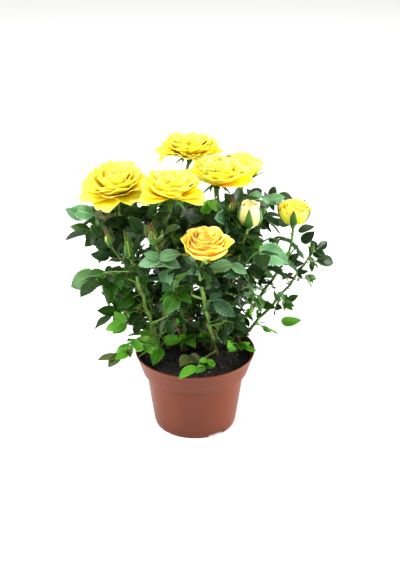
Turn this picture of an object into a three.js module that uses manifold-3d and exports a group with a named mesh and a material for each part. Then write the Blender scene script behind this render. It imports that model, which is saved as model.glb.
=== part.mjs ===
// A miniature rose bush in a plastic flower pot, as a scene graph of closed solids.
// Millimetres, +Z up, the front is -Y, and the origin is the middle of the pot's underside.
//
//   pot       thin plastic wall with a tapered collar, drain holes and three foot notches
//   compost   the filling, level on top, that the canes rise from
//   canes     one tapering limb each, from a flat foot on the compost to its tip
//   blooms    a flower and its stalk, standing on a cane's tip
//   shoots    a stem with compound leaves, and often a bud, in a space of its own
import * as THREE from "three";
import { mergeVertices } from "three/addons/utils/BufferGeometryUtils.js";
import Module from "manifold-3d";

const wasm = await Module();
wasm.setup();

// ---- driving dimensions ---------------------------------------------------------------
const rimRadius = 60;
const potHeight = 81;
const collarRadius = 52.9; // the lower edge of the tapered band under the rim
const collarFoot = 57; // the height where the wall steps out into that band
const wallRadius = 49.2; // the wall just under the step
const footRadius = 40.3;
const footRingWidth = 2;
const footLift = 3; // the floor stands this far above the foot ring
const padRadius = 15; // in the middle the floor dips to the ground
const wallThickness = 1.6;
const drainHoles = { count: 6, radius: 3.5, circle: 27 };
const notches = { count: 3, width: 18, height: 2.8, first: 33 }; // first: degrees round from the front
const facets = 32; // sides of the pot and of its filling

const fillLevel = 74;
const clearance = 0.3; // between any two solids that meet

const gold = (137.5 * Math.PI) / 180; // the turn from one leaf to the next
const spaceGap = 1.2; // left free between the spaces of two shoots
const limbGap = 1.1; // left free between a leaf and a limb that is not its own
const leafGap = 3; // left free between the outlines of two leaflets of a shoot
const endLeaflet = 33; // length of the leaflet at the end of a leaf
// the leaflets of a leaf: how far along its stalk, the turn to the side, and the length
const leafletPlan = [[0.97, 0, endLeaflet], [0.62, 1.1, 27], [0.62, -1.1, 27]];
const leafletShape = 0.64; // width over length
const widest = 0.43; // where along it a leaflet is widest
const bladeThickness = 0.9;
const stalkWidth = 1.1;
const rootDepth = 0.25; // the foot of a leaflet lies this far inside its stalk
const stemRadius = 1.2;
const attempts = 12; // directions tried for each leaf
// how the line of sight of someone in front falls, how wide an aisle it has before a cane and up to
// what height, and the part of the compost that it reaches: its radius and how far back
const sight = {
  fall: Math.tan((25.5 * Math.PI) / 180), aisle: 4.6, top: 182, clearing: 54, depth: 6,
  buds: ["left_bud", "front_left_bud", "inner_bud"], stem: 0.4, budShare: 1.3,
};

const colours = {
  pot: [0x9c5a41, 0.45],
  compost: [0x1d1712, 0.95],
  cane: [0x5f8f35, 0.55],
  petal: [0xf7d432, 0.6],
  leaf: [0x2c5a2a, 0.4],
  youngLeaf: [0x5c9a2c, 0.4],
};

// ---- the plan of the bush -------------------------------------------------------------
// A cane: foot on the compost (x, y), a point half way up, its tip, radius at foot and tip.
const canes = {
  front_left: { foot: [-35, 9], middle: [-45, -22, 130], tip: [-57, -53, 196.5], radii: [2, 1.5] },
  front: { foot: [21, 3], middle: [12, -28, 131.5], tip: [5, -60, 187], radii: [2.1, 1.6] },
  right: { foot: [31, 11], middle: [57, -4, 129], tip: [84, -5, 174], radii: [2, 1.4] },
  far_right: { foot: [37, 18], middle: [74, 5, 124], tip: [106, 0, 173], radii: [1.8, 1.2] },
  inner_right: { foot: [13, 11], middle: [29, -8, 136], tip: [43, -26, 200], radii: [2.2, 1.6] },
  left: { foot: [-25, 14], middle: [-47, -2, 143], tip: [-68, -6, 216], radii: [2.4, 1.7] },
  mid_left: { foot: [-11, 9], middle: [-14, -7, 145], tip: [-20, -30, 225], radii: [2.5, 1.8] },
  top: { foot: [-5, 27], middle: [-6, 24, 154], tip: [-9, 28, 238], radii: [2.6, 1.8] },
  mid_right: { foot: [6, 19], middle: [15, 7, 148], tip: [22, -2, 231], radii: [2.5, 1.8] },
  back_right: { foot: [20, 28], middle: [34, 34, 147], tip: [46, 39, 221], radii: [2.3, 1.6] },
  back: { foot: [-4, 42], middle: [-8, 62, 132], tip: [-10, 78, 186], radii: [2.3, 1.6] },
  back_left: { foot: [-22, 30], middle: [-46, 43, 132], tip: [-70, 52, 190], radii: [2.2, 1.5] },
  rear_right: { foot: [14, 42], middle: [36, 58, 126], tip: [60, 72, 176], radii: [2.1, 1.5] },
};

// A bloom: the cane that carries it, where its petals start, the way it faces, its radius and height.
const blooms = {
  top: { cane: "top", base: [-5, 54, 265], faces: [0, 0.06, 1], radius: 31, height: 25 },
  left: { cane: "left", base: [-74, 3, 247], faces: [-0.08, -0.16, 1], radius: 30.5, height: 25 },
  mid_left: { cane: "mid_left", base: [-21.5, -42.5, 260.5], faces: [0.06, 0, 1],
    radius: 27.5, height: 24 },
  mid_right: { cane: "mid_right", base: [21, 0.5, 256], faces: [0.04, 0.05, 1],
    radius: 31, height: 23 },
  back_right: { cane: "back_right", base: [45, 44, 246], faces: [0.1, 0.08, 1],
    radius: 19.5, height: 22, form: "cup" },
  front: { cane: "front", base: [10.5, -79, 217], faces: [0, -0.1, 1], radius: 20, height: 24 },
  inner_right: { cane: "inner_right", base: [51, -25, 225.5], faces: [0.02, -0.1, 1],
    radius: 11.5, height: 23, form: "bud" },
  right: { cane: "right", base: [94.5, 5, 214], faces: [0.04, -0.05, 1],
    radius: 15, height: 21, form: "cup" },
  back: { cane: "back", base: [-22, 92, 206], faces: [-0.15, 0.4, 1], radius: 26, height: 23 },
};

// A shoot: its cane and how far up that it starts, its tip, its number of leaves and their size.
// An aimed leaf gives its place on the stem, its tip, its size and how many leaflets it may have, and
// a bud its length.
const shoots = {
  left_upper: { cane: "left", at: 0.84, tip: [-92, -8, 216], leaves: 3, size: 0.7,
    aimed: [[0.95, -122, -8, 236, 0.6, 1], [0.6, -120, -11, 222, 0.68, 3]] },
  left_bud: { cane: "left", at: 0.66, tip: [-77.5, -54, 218], leaves: 5, size: 0.7, bud: 13,
    aimed: [[0.8, -111, -31, 228, 0.66, 1]] },
  left_front: { cane: "front_left", at: 0.86, tip: [-86, -48, 187], leaves: 2, size: 0.8,
    aimed: [
      [0.97, -125, -46, 174, 1.05, 1],
      [0.8, -78, -70, 164, 0.9, 1],
      [0.6, -123, -30, 200, 0.8, 3],
    ] },
  front_left_bud: { cane: "front_left", at: 1, tip: [-59.5, -57, 208], leaves: 4, size: 0.6, bud: 16 },
  inner_bud: { cane: "mid_left", at: 0.72, tip: [-37, -65, 224], leaves: 6, size: 0.7, bud: 15 },
  left_low: { cane: "left", at: 0.36, tip: [-68, -22, 134], leaves: 4, size: 0.75,
    aimed: [[0.95, -94, -36, 141, 0.65, 3], [0.6, -93, -28, 112, 0.72, 1]] },
  left_base: { cane: "front_left", at: 0.14, tip: [-56, -28, 104], leaves: 1, size: 0.5, young: true,
    aimed: [[0.97, -96, -47, 108, 0.55, 3], [0.6, -76, -50, 97, 0.5, 1]] },
  front_base: { cane: "front", at: 0.05, tip: [6, -34, 86], leaves: 1, size: 0.42, young: true,
    aimed: [[0.9, -16, -62, 83, 0.66, 1]] },
  right_base: { cane: "right", at: 0.1, tip: [44, -14, 92], leaves: 2, size: 0.5, young: true,
    aimed: [[0.9, 50, -29, 82, 0.48, 1], [0.6, 61, -18, 99, 0.5, 3]] },
  right_low: { cane: "far_right", at: 0.28, tip: [62, -8, 114], leaves: 1, size: 0.5, young: true,
    aimed: [[0.97, 104, -28, 127, 0.68, 1]] },
  right_mid: { cane: "right", at: 0.5, tip: [56, -32, 160], leaves: 3, size: 0.55 },
  right_tip: { cane: "far_right", at: 1, tip: [112, -3, 187], leaves: 2, size: 0.5, bud: 9,
    aimed: [[0.6, 140, 3, 174, 0.66, 1], [0.3, 129, -3, 168, 0.5, 1]] },
  right_upper: { cane: "right", at: 0.92, tip: [96, -10, 196], leaves: 3, size: 0.55,
    aimed: [[0.97, 113, -14, 214, 0.5, 1]] },
  top_right: { cane: "back_right", at: 0.88, tip: [68, 34, 228], leaves: 2, size: 0.7,
    aimed: [[0.97, 90, 33, 230, 0.6, 1], [0.8, 80, 22, 216, 0.6, 1]] },
  inner_right: { cane: "inner_right", at: 0.78, tip: [61, -46, 213], leaves: 3, size: 0.75,
    aimed: [[0.97, 89, -46, 196, 1, 1], [0.6, 90, -26, 220, 0.7, 3]] },
  front_mid: { cane: "front", at: 0.76, tip: [-16, -68, 184], leaves: 5, size: 0.75 },
  front_low: { cane: "front", at: 0.4, tip: [30, -54, 140], leaves: 3, size: 0.62 },
  inner_low: { cane: "front_left", at: 0.42, tip: [-24, -46, 142], leaves: 3, size: 0.65 },
  high_right: { cane: "mid_right", at: 0.84, tip: [33.5, -23, 237], leaves: 6, size: 0.7, bud: 12 },
  high_left: { cane: "mid_left", at: 0.84, tip: [-42, -2, 230], leaves: 6, size: 0.75 },
  back_left_tip: { cane: "back_left", at: 1, tip: [-80, 56, 206], leaves: 5, size: 0.95, bud: 14 },
  back_left_low: { cane: "back_left", at: 0.4, tip: [-66, 52, 134], leaves: 4, size: 0.9 },
  back_low: { cane: "back", at: 0.4, tip: [-16, 84, 138], leaves: 5, size: 0.95 },
  rear_right_low: { cane: "rear_right", at: 0.4, tip: [56, 66, 130], leaves: 4, size: 0.85 },
  rear_right_tip: { cane: "rear_right", at: 1, tip: [68, 78, 194], leaves: 4, size: 0.95, bud: 14 },
  back_high: { cane: "top", at: 0.8, tip: [-30, 54, 220], leaves: 5, size: 0.9 },
  left_back: { cane: "left", at: 0.76, tip: [-82, 28, 204], leaves: 5, size: 0.8 },
  back_mid: { cane: "top", at: 0.44, tip: [-30, 42, 168], leaves: 4, size: 0.9 },
  right_back: { cane: "back_right", at: 0.62, tip: [76, 38, 186], leaves: 3, size: 0.75 },
  heart: { cane: "mid_right", at: 0.5, tip: [10, 34, 186], leaves: 5, size: 0.9 },
  mid_left_low: { cane: "mid_left", at: 0.4, tip: [-37, 8, 178], leaves: 4, size: 0.8 },
  middle_low: { cane: "mid_right", at: 0.3, tip: [2, -24, 142], leaves: 3, size: 0.65 },
  inner_right_low: { cane: "inner_right", at: 0.36, tip: [46, -26, 138], leaves: 3, size: 0.65 },
  back_right_low: { cane: "back_right", at: 0.3, tip: [48, 24, 126], leaves: 3, size: 0.75 },
};

// ---- small tools ----------------------------------------------------------------------
const vec = (a) => new THREE.Vector3(...a);
const up = vec([0, 0, 1]);
const front = vec([0.05, -0.75, 0.66]); // the way that an aimed leaf faces
const mix = THREE.MathUtils.lerp;

// Park and Miller's generator: whole numbers, so that a seed gives one sequence anywhere.
function stream(seed) {
  let state = seed * 7919 + 17;
  const next = () => {
    state = (state * 16807) % 2147483647;
    return state / 2147483647;
  };
  next();
  return next;
}

// The arc from a to b whose half-way point is m.
function arcThrough(a, m, b) {
  const control = m.clone().multiplyScalar(2).addScaledVector(a, -0.5).addScaledVector(b, -0.5);
  return new THREE.QuadraticBezierCurve3(a, control, b);
}

// The curve that leaves a point along its heading and bends to an end.
function bend(start, heading, end) {
  const control = start.clone().addScaledVector(heading, start.distanceTo(end) * 0.45);
  return new THREE.QuadraticBezierCurve3(start, control, end);
}

// A geometry as a solid that can be joined and cut.
function solid(geometry) {
  const bare = geometry.index ? geometry.toNonIndexed() : geometry.clone();
  const unused = Object.keys(bare.attributes).filter((name) => name !== "position");
  unused.forEach((name) => bare.deleteAttribute(name));
  const merged = mergeVertices(bare, 1e-4);
  const corners = merged.index.array;
  const kept = [];
  for (let i = 0; i < corners.length; i += 3) {
    const [a, b, c] = corners.slice(i, i + 3);
    if (a !== b && b !== c && c !== a) kept.push(a, b, c);
  }
  return new wasm.Manifold(
    new wasm.Mesh({
      numProp: 3,
      vertProperties: merged.attributes.position.array,
      triVerts: new Uint32Array(kept),
    }),
  );
}

// Fuses solids into one body: sealed hollows are filled and loose scraps dropped.
function fuse(solids) {
  const bodies = wasm.Manifold.union(solids).decompose();
  return bodies.reduce((best, body) => (body.volume() > best.volume() ? body : best));
}

function geometryOf(manifold) {
  const mesh = manifold.getMesh();
  const positions = new Float32Array(mesh.numVert * 3);
  for (let i = 0; i < mesh.numVert; i++) {
    positions.set(mesh.vertProperties.subarray(i * mesh.numProp, i * mesh.numProp + 3), i * 3);
  }
  const geometry = new THREE.BufferGeometry();
  geometry.setAttribute("position", new THREE.BufferAttribute(positions, 3));
  geometry.setIndex(new THREE.BufferAttribute(mesh.triVerts, 1));
  return geometry;
}

// Moves every vertex of a geometry by a rule.
function warp(geometry, rule) {
  const position = geometry.attributes.position;
  const p = new THREE.Vector3();
  for (let i = 0; i < position.count; i++) {
    p.fromBufferAttribute(position, i);
    rule(p, i);
    position.setXYZ(i, p.x, p.y, p.z);
  }
  return geometry;
}

// A round limb along a curve: a cylinder bent onto it, with radiusAt(t) from foot to tip.
function limb(curve, radiusAt, sides, steps) {
  const frames = curve.computeFrenetFrames(steps);
  return warp(new THREE.CylinderGeometry(1, 1, 1, sides, steps), (p) => {
    const step = Math.round((p.y + 0.5) * steps);
    const t = step / steps;
    const radius = radiusAt(t);
    const offset = frames.normals[step].clone().multiplyScalar(p.z * radius);
    offset.addScaledVector(frames.binormals[step], p.x * radius);
    p.copy(curve.getPointAt(t)).add(offset);
  });
}

// ---- pot and compost ------------------------------------------------------------------
function turned(profile) {
  const points = profile.map(([radius, height]) => new THREE.Vector2(radius, height));
  return new THREE.LatheGeometry(points, facets).rotateX(Math.PI / 2);
}

const stepHeight = 2.5; // the wall slopes out to the collar over this height
const footFlare = 1.2; // the wall swells this much over its lowest few millimetres

function makePot() {
  const t = wallThickness;
  const floor = footLift + t;
  const body = solid(
    turned([
      [0, 0],
      [padRadius, 0],
      [padRadius + 2, footLift],
      [footRadius - footRingWidth - 0.5, footLift],
      [footRadius - footRingWidth, 0],
      [footRadius, 0],
      [footRadius + footFlare, 4],
      [wallRadius, collarFoot],
      [collarRadius, collarFoot + stepHeight],
      [rimRadius, potHeight],
      [rimRadius - t, potHeight],
      [collarRadius - t, collarFoot + stepHeight + 0.9],
      [wallRadius - t, collarFoot + 0.9],
      [footRadius + footFlare - t, floor],
      [padRadius + 1, floor],
      [padRadius - 1, t],
      [0, t],
    ]),
  );
  const cuts = [];
  for (let i = 0; i < drainHoles.count; i++) {
    const angle = (i * 2 * Math.PI) / drainHoles.count;
    const hole = new THREE.CylinderGeometry(drainHoles.radius, drainHoles.radius, 12, 8);
    cuts.push(solid(hole.rotateX(Math.PI / 2).translate(drainHoles.circle, 0, 0).rotateZ(angle)));
  }
  for (let i = 0; i < notches.count; i++) {
    const turn = THREE.MathUtils.degToRad(notches.first) + (i * 2 * Math.PI) / notches.count;
    const notch = new THREE.BoxGeometry(notches.width, 16, 2 * notches.height);
    cuts.push(solid(notch.translate(0, -footRadius, 0).rotateZ(turn)));
  }
  return body.subtract(wasm.Manifold.union(cuts));
}

// The filling follows the inside of the wall, one clearance off it.
function makeCompost() {
  const t = wallThickness + clearance + 0.1;
  const floor = footLift + wallThickness + clearance;
  const collarInside = collarFoot + stepHeight + 1.2;
  const collarSlope = (rimRadius - collarRadius) / (potHeight - collarFoot - stepHeight);
  return solid(
    turned([
      [0, floor],
      [footRadius + footFlare - t, floor],
      [wallRadius - t, collarFoot + 1.1],
      [collarRadius - t, collarInside],
      [collarRadius - t + collarSlope * (fillLevel - collarInside), fillLevel],
      [0, fillLevel],
    ]),
  );
}

// ---- canes ----------------------------------------------------------------------------
for (const cane of Object.values(canes)) {
  const foot = vec([...cane.foot, fillLevel + clearance]);
  cane.curve = arcThrough(foot, vec(cane.middle), vec(cane.tip));
  // a slight flare at the foot, then an even taper
  cane.radiusAt = (t) => mix(...cane.radii, t) * (1 + 0.45 * Math.exp(-22 * t));
}

function makeCane(cane) {
  const footHeight = fillLevel + clearance;
  const shape = limb(cane.curve, cane.radiusAt, 5, 7);
  // the foot is cut level
  return warp(shape, (p) => {
    if (p.z < footHeight + 1.2) p.z = footHeight;
  });
}

// ---- blooms ---------------------------------------------------------------------------
// A flower is turned from rings, base to heart: radius and height as shares of the flower's, then the
// number of its lobes and their depth. The facets round each form keep the small ones light.
const flowerRings = {
  open: [
    [0, 0, 0, 0], [0.5, 0.1, 5, 0.05], [0.97, 0.36, 5, 0.1], [0.94, 0.45, 5, 0.1], [0.73, 0.5, 4, 0.06],
    [0.74, 0.7, 4, 0.1], [0.46, 0.76, 3, 0.08], [0.42, 0.97, 3, 0.1], [0, 0.86, 0, 0],
  ],
  cup: [
    [0, 0, 0, 0], [0.6, 0.16, 5, 0.03], [0.88, 0.5, 5, 0.05], [0.92, 0.84, 5, 0.1], [0.7, 0.86, 5, 0.1],
    [0.62, 1, 6, 0.1], [0.3, 0.98, 4, 0.1], [0, 0.9, 0, 0],
  ],
  bud: [
    [0, 0, 0, 0], [0.7, 0.12, 5, 0.02], [1, 0.42, 5, 0.03], [0.92, 0.72, 5, 0.05], [0.66, 0.94, 5, 0.1],
    [0.4, 1, 5, 0.1], [0, 0.94, 0, 0],
  ],
  closed: [[0, 0, 0, 0], [1, 0.32, 0, 0], [0.62, 0.62, 0, 0], [0, 1.15, 0, 0]],
};

const sidesOf = { open: 16, cup: 9, bud: 7, closed: 5 };

function flower(form, radius, height) {
  const rings = flowerRings[form];
  const points = rings.map(([r, h]) => new THREE.Vector2(r * radius, h * height));
  const shape = new THREE.LatheGeometry(points, sidesOf[form]).rotateX(Math.PI / 2);
  return warp(shape, (p, i) => {
    const ring = i % rings.length;
    const [, , lobes, depth] = rings[ring];
    const wave = Math.cos(lobes * Math.atan2(p.y, p.x) + ring * 1.7);
    p.x *= 1 + depth * wave;
    p.y *= 1 + depth * wave;
    p.z += depth * wave * height * 0.3;
  });
}

// A blade of eight faces: a thin octahedron from its base to its tip.
function blade(base, along, across, length, width, thickness) {
  const normal = along.clone().cross(across).normalize();
  return warp(new THREE.OctahedronGeometry(1), (p) => {
    const reach = length * ((p.x + 1) / 2 - 0.07 * (1 - Math.abs(p.x)));
    const side = (p.y * width) / 2;
    const rise = (p.z * thickness) / 2;
    p.copy(base).addScaledVector(along, reach).addScaledVector(across, side).addScaledVector(normal, rise);
  });
}

for (const bloom of Object.values(blooms)) {
  const { curve } = canes[bloom.cane];
  bloom.form ??= "open";
  const heading = curve.getTangent(1);
  bloom.axis = vec(bloom.faces).normalize();
  const start = vec(canes[bloom.cane].tip).addScaledVector(heading, clearance);
  bloom.curve = bend(start, heading, vec(bloom.base));
  bloom.radiusAt = (t) => mix(canes[bloom.cane].radii[1] * 0.95, 1.3, t);
}

function makeBloom(bloom) {
  const turn = new THREE.Quaternion().setFromUnitVectors(up, bloom.axis);
  const place = (shape) => solid(shape.applyQuaternion(turn).translate(...bloom.base));
  const pieces = [solid(limb(bloom.curve, bloom.radiusAt, 5, 4))];
  pieces.push(place(flower(bloom.form, bloom.radius, bloom.height)));
  // the green seed cup under the petals
  pieces.push(place(new THREE.SphereGeometry(3.4, 5, 3).rotateX(Math.PI / 2).translate(0, 0, -1.5)));
  if (bloom.form !== "open") {
    const sepals = 5;
    for (let i = 0; i < sepals; i++) {
      const angle = (i * 2 * Math.PI) / sepals + 0.3;
      const out = vec([Math.cos(angle), Math.sin(angle), 0]);
      const along = out.clone().multiplyScalar(0.62).addScaledVector(up, 0.78).normalize();
      const across = up.clone().cross(out).normalize();
      pieces.push(place(blade(out.clone().multiplyScalar(1.5), along, across, bloom.height * 0.95, 7, 1.2)));
    }
  }
  return fuse(pieces);
}

// ---- shoots ---------------------------------------------------------------------------
for (const [i, shoot] of Object.values(shoots).entries()) {
  shoot.seed = i + 1;
  const { curve, radiusAt } = canes[shoot.cane];
  const root = curve.getPoint(shoot.at);
  const heading = curve.getTangent(shoot.at);
  const tip = vec(shoot.tip);
  if (shoot.at === 1) {
    shoot.curve = bend(root.addScaledVector(heading, clearance), heading, tip);
  } else {
    // a side shoot leaves at half a right angle, clear of its cane's surface
    const away = tip.clone().sub(root);
    away.addScaledVector(heading, -away.dot(heading)).normalize();
    const lean = away.clone().add(heading).normalize();
    root.addScaledVector(away, radiusAt(shoot.at) + clearance + 0.75 * stemRadius);
    shoot.curve = bend(root, lean, tip);
  }
}

// A curve as short straight lines, for measuring how far a point is from it.
function linesOf(curve, steps) {
  const points = curve.getPoints(steps);
  return points.slice(1).map((end, i) => new THREE.Line3(points[i], end));
}
const nearest = new THREE.Vector3();
const distanceTo = (line, p) => line.closestPointToPoint(p, true, nearest).distanceTo(p);

const limbSteps = 10;
const limbLines = [...Object.values(canes), ...Object.values(blooms)].flatMap(({ curve, radiusAt }) =>
  linesOf(curve, limbSteps).map((line, i) => ({ line, radius: radiusAt(i / limbSteps) })),
);
const stemSteps = 6;
const stemLines = new Map(Object.values(shoots).map((shoot) => [shoot, linesOf(shoot.curve, stemSteps)]));
const distanceToStem = (shoot, p) => Math.min(...stemLines.get(shoot).map((line) => distanceTo(line, p)));

// Leaves keep off the compost and the rim, and hang no lower than the collar outside.
function aboveGround(p) {
  const radius = Math.hypot(p.x, p.y);
  if (p.z > potHeight + 1.5) return true;
  if (radius < rimRadius - 6) return p.z > fillLevel + 2;
  return radius > rimRadius + 2 && p.z > collarFoot;
}

// A bloom takes up a bowl that widens from its base, and the room above that.
function clearOfBlooms(p) {
  return Object.values(blooms).every((bloom) => {
    const offset = p.clone().sub(vec(bloom.base));
    const height = offset.dot(bloom.axis);
    const radius = Math.sqrt(Math.max(0, offset.lengthSq() - height * height));
    const opened = THREE.MathUtils.clamp(height / (bloom.height * 0.4), 0, 1);
    const girth = bloom.radius * (0.25 + 0.9 * Math.sqrt(opened)) + 2;
    return height < -5 || height > bloom.height + 3 || radius > girth;
  });
}

function clearOfLimbs(p) {
  return limbLines.every(({ line, radius }) => distanceTo(line, p) > radius + limbGap);
}

// A shoot's space: all that is nearer to its own stem than to any other.
function inOwnSpace(shoot, p) {
  const own = distanceToStem(shoot, p);
  const others = Object.values(shoots).filter((other) => other !== shoot);
  return others.every((other) => own + spaceGap < distanceToStem(other, p));
}

// Two rules keep the front of the bush open, along the line of sight of someone facing it: leaves
// stand aside from the lower part of the canes in front and from the buds there, and leave the near
// half of the compost to be seen. Only young shoots may stand before the compost.
const frontCanes = [canes.front_left, canes.front].map(({ curve }) =>
  curve.getPoints(40).filter((p) => p.z < sight.top),
);
const budAxis = (curve) => curve.getTangent(1).add(up).normalize();  // a bud turns up from its stem
const frontBuds = sight.buds.map((name) => {
  const { curve, bud } = shoots[name];
  const share = (1 - sight.stem) / 12;
  const stem = Array.from({ length: 13 }, (_, i) => curve.getPoint(sight.stem + i * share));
  return [...stem, curve.getPoint(1).addScaledVector(budAxis(curve), bud * sight.budShare)];
});
const sightLevel = (p) => p.z + p.y * sight.fall;
function besideFrontStems(p) {
  const level = sightLevel(p);
  return [...frontCanes, ...frontBuds].every((path) => {
    const next = path.findIndex((q) => sightLevel(q) > level);
    if (next < 1) return true;
    const [a, b] = [path[next - 1], path[next]];
    const behind = a.clone().lerp(b, (level - sightLevel(a)) / (sightLevel(b) - sightLevel(a)));
    return Math.abs(p.x - behind.x) >= sight.aisle || p.y >= behind.y;
  });
}
function besideCompost(p) {
  const y = p.y + (p.z - fillLevel) / sight.fall;
  return Math.hypot(p.x, y) >= sight.clearing || y >= sight.depth;
}

const isFree = (shoot, p) =>
  aboveGround(p) && clearOfBlooms(p) && clearOfLimbs(p) && inOwnSpace(shoot, p) &&
  besideFrontStems(p) && (shoot.young || besideCompost(p));

// One compound leaf: a straight stalk, and the way that its end leaflet heads on from there. Its
// leaflets face up and outward, or the way they are told, turned by roll about that heading.
function leafFrom(root, direction, length, drop, roll, size, toward) {
  const joint = root.clone().addScaledVector(direction, length);
  const heading = direction.clone().addScaledVector(up, -drop).normalize();
  const outward = vec([joint.x, joint.y, 0]).normalize();
  const facing = toward ? toward.clone() : up.clone().addScaledVector(outward, 0.7);
  facing.addScaledVector(heading, -facing.dot(heading)).normalize().applyAxisAngle(heading, roll);
  return { root, joint, heading, facing, size };
}

// Its leaflets: one at the end and a pair part way, all facing the same way.
function leafletsOf({ root, joint, heading, facing, size }) {
  return leafletPlan.map(([share, sideTurn, length]) => ({
    base: root.clone().lerp(joint, share).addScaledVector(facing, -rootDepth),
    along: heading.clone().applyAxisAngle(facing, sideTurn),
    facing,
    length: length * size,
    width: length * size * leafletShape,
  }));
}

// A leaflet's outline: its midrib and both edges, as shares of its length and width.
const outline = [
  [0.2, 0], [0.6, 0], [1, 0],
  [widest, 0.5], [0.7, 0.26], [0.22, 0.25],
  [widest, -0.5], [0.7, -0.26], [0.22, -0.25],
];
function outlineOf({ base, along, facing, length, width }) {
  const across = facing.clone().cross(along);
  return outline.map(([reach, side]) =>
    base.clone().addScaledVector(along, reach * length).addScaledVector(across, side * width),
  );
}

// The rule that fills a shoot's space. Leaves stand a golden turn apart up the stem; each is tried
// in several directions and kept in the one that leaves most of its leaflets free of the rest.
function leavesOf(shoot) {
  const draw = stream(shoot.seed);
  const firstTurn = 2 * Math.PI * draw();
  const taken = [];
  const kept = [];
  const tryLeaf = (leaf, most = leafletPlan.length) => {
    const stalk = [0.3, 0.5, 0.75, 1].map((share) => leaf.root.clone().lerp(leaf.joint, share));
    if (!stalk.every((p) => isFree(shoot, p))) return [];
    const leaflets = leafletsOf(leaf).slice(0, most);
    const fits = leaflets.map((leaflet) =>
      outlineOf(leaflet).every((p) => isFree(shoot, p) && taken.every((q) => q.distanceTo(p) > leafGap)),
    );
    return fits[0] ? leaflets.filter((_, i) => fits[i]) : [];
  };
  const keep = (leaf, leaflets) => {
    if (leaflets.length === 0) return;
    kept.push({ ...leaf, leaflets });
    taken.push(...leaflets.flatMap(outlineOf));
  };
  for (const [along, x, y, z, size, most] of shoot.aimed ?? []) {
    const root = shoot.curve.getPoint(along);
    const direction = vec([x, y, z]).sub(root);
    const length = direction.length() - endLeaflet * size;
    const leaf = leafFrom(root, direction.normalize(), length, 0, 0, size, front);
    keep(leaf, tryLeaf(leaf, most));
  }
  for (let k = 0; k < shoot.leaves; k++) {
    const along = (k + 0.8) / shoot.leaves;
    const root = shoot.curve.getPoint(along);
    const heading = shoot.curve.getTangent(along);
    const outward = vec([root.x, root.y, 0]).normalize();
    const sideways = heading.clone().cross(up).normalize();
    const rising = sideways.clone().cross(heading).normalize();
    let best = [];
    let bestLeaf;
    for (let attempt = 0; attempt < attempts; attempt++) {
      const turn = firstTurn + k * gold + attempt * 0.9 + (draw() - 0.5) * 0.6;
      const spread = mix(0.7, 1.35, draw());
      const size = shoot.size * (1 - 0.03 * attempt);
      const length = size * mix(15, 27, draw());
      const direction = sideways.clone().multiplyScalar(Math.sin(spread) * Math.cos(turn));
      direction.addScaledVector(rising, Math.sin(spread) * Math.sin(turn));
      direction.addScaledVector(heading, Math.cos(spread)).addScaledVector(outward, 0.3).normalize();
      // leaves reach more across than up or down
      direction.setZ(mix(direction.z, 0.1, 0.5)).normalize();
      const leaf = leafFrom(root, direction, length, mix(0, 0.25, draw()), (draw() - 0.5) * 1.4, size);
      const leaflets = tryLeaf(leaf);
      if (leaflets.length > best.length) [best, bestLeaf] = [leaflets, leaf];
    }
    keep(bestLeaf, best);
  }
  return kept;
}

// A three-sided body through stations, each [centre, width, depth]: flat above, a rib below.
function ribbed(stations, along, facing) {
  const steps = stations.length - 1;
  const across = facing.clone().cross(along);
  return warp(new THREE.CylinderGeometry(1, 1, 1, 3, steps), (p) => {
    const [centre, width, depth] = stations[Math.round((p.y + 0.5) * steps)];
    const side = (p.x / Math.sin(Math.PI / 3)) * (width / 2);
    const drop = ((p.z + 0.5) / 1.5) * depth;
    p.copy(centre).addScaledVector(across, side).addScaledVector(facing, -drop);
    // a leaflet is deepest nearer its foot than where it is widest
    if (width > 3 && drop > depth / 2) p.addScaledVector(along, -0.5 * widest * (width / leafletShape));
  });
}

function makeLeaf({ root, joint, facing, leaflets }) {
  const stalk = [[root, stalkWidth, stalkWidth], [joint, stalkWidth, stalkWidth]];
  const pieces = [ribbed(stalk, joint.clone().sub(root).normalize(), facing)];
  for (const { base, along, length, width } of leaflets) {
    const at = (share) => base.clone().addScaledVector(along, share * length);
    pieces.push(ribbed([[base, 0, 0], [at(widest), width, bladeThickness], [at(1), 0, 0]], along, facing));
  }
  return pieces.map(solid);
}

function makeShoot(shoot) {
  const pieces = [solid(limb(shoot.curve, (t) => mix(stemRadius, 0.85, t), 4, 2))];
  for (const leaf of leavesOf(shoot)) pieces.push(...makeLeaf(leaf));
  if (shoot.bud) {
    const turn = new THREE.Quaternion().setFromUnitVectors(up, budAxis(shoot.curve));
    const bud = flower("closed", shoot.bud * 0.27, shoot.bud).translate(0, 0, -0.5);
    pieces.push(solid(bud.applyQuaternion(turn).translate(...shoot.tip)));
  }
  return fuse(pieces);
}

// ---- the assembly ---------------------------------------------------------------------
const bush = new THREE.Group();

function addNode(name, geometry, [color, roughness]) {
  const material = new THREE.MeshStandardMaterial({ color, roughness, metalness: 0 });
  const mesh = new THREE.Mesh(geometry, material);
  mesh.name = name;
  bush.add(mesh);
}

addNode("pot", geometryOf(makePot()), colours.pot);
addNode("compost", geometryOf(makeCompost()), colours.compost);
for (const [name, cane] of Object.entries(canes)) addNode(`cane_${name}`, makeCane(cane), colours.cane);
for (const [name, bloom] of Object.entries(blooms)) {
  addNode(`bloom_${name}`, geometryOf(makeBloom(bloom)), colours.petal);
}
for (const [name, shoot] of Object.entries(shoots)) {
  addNode(`shoot_${name}`, geometryOf(makeShoot(shoot)), shoot.young ? colours.youngLeaf : colours.leaf);
}

export default bush;
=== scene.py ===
# A miniature rose bush with yellow blooms in a terracotta-coloured plastic pot.
# The tables are in millimetres and the meshes in metres, in the frame's own axes: the front is -Y.
import math

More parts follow.
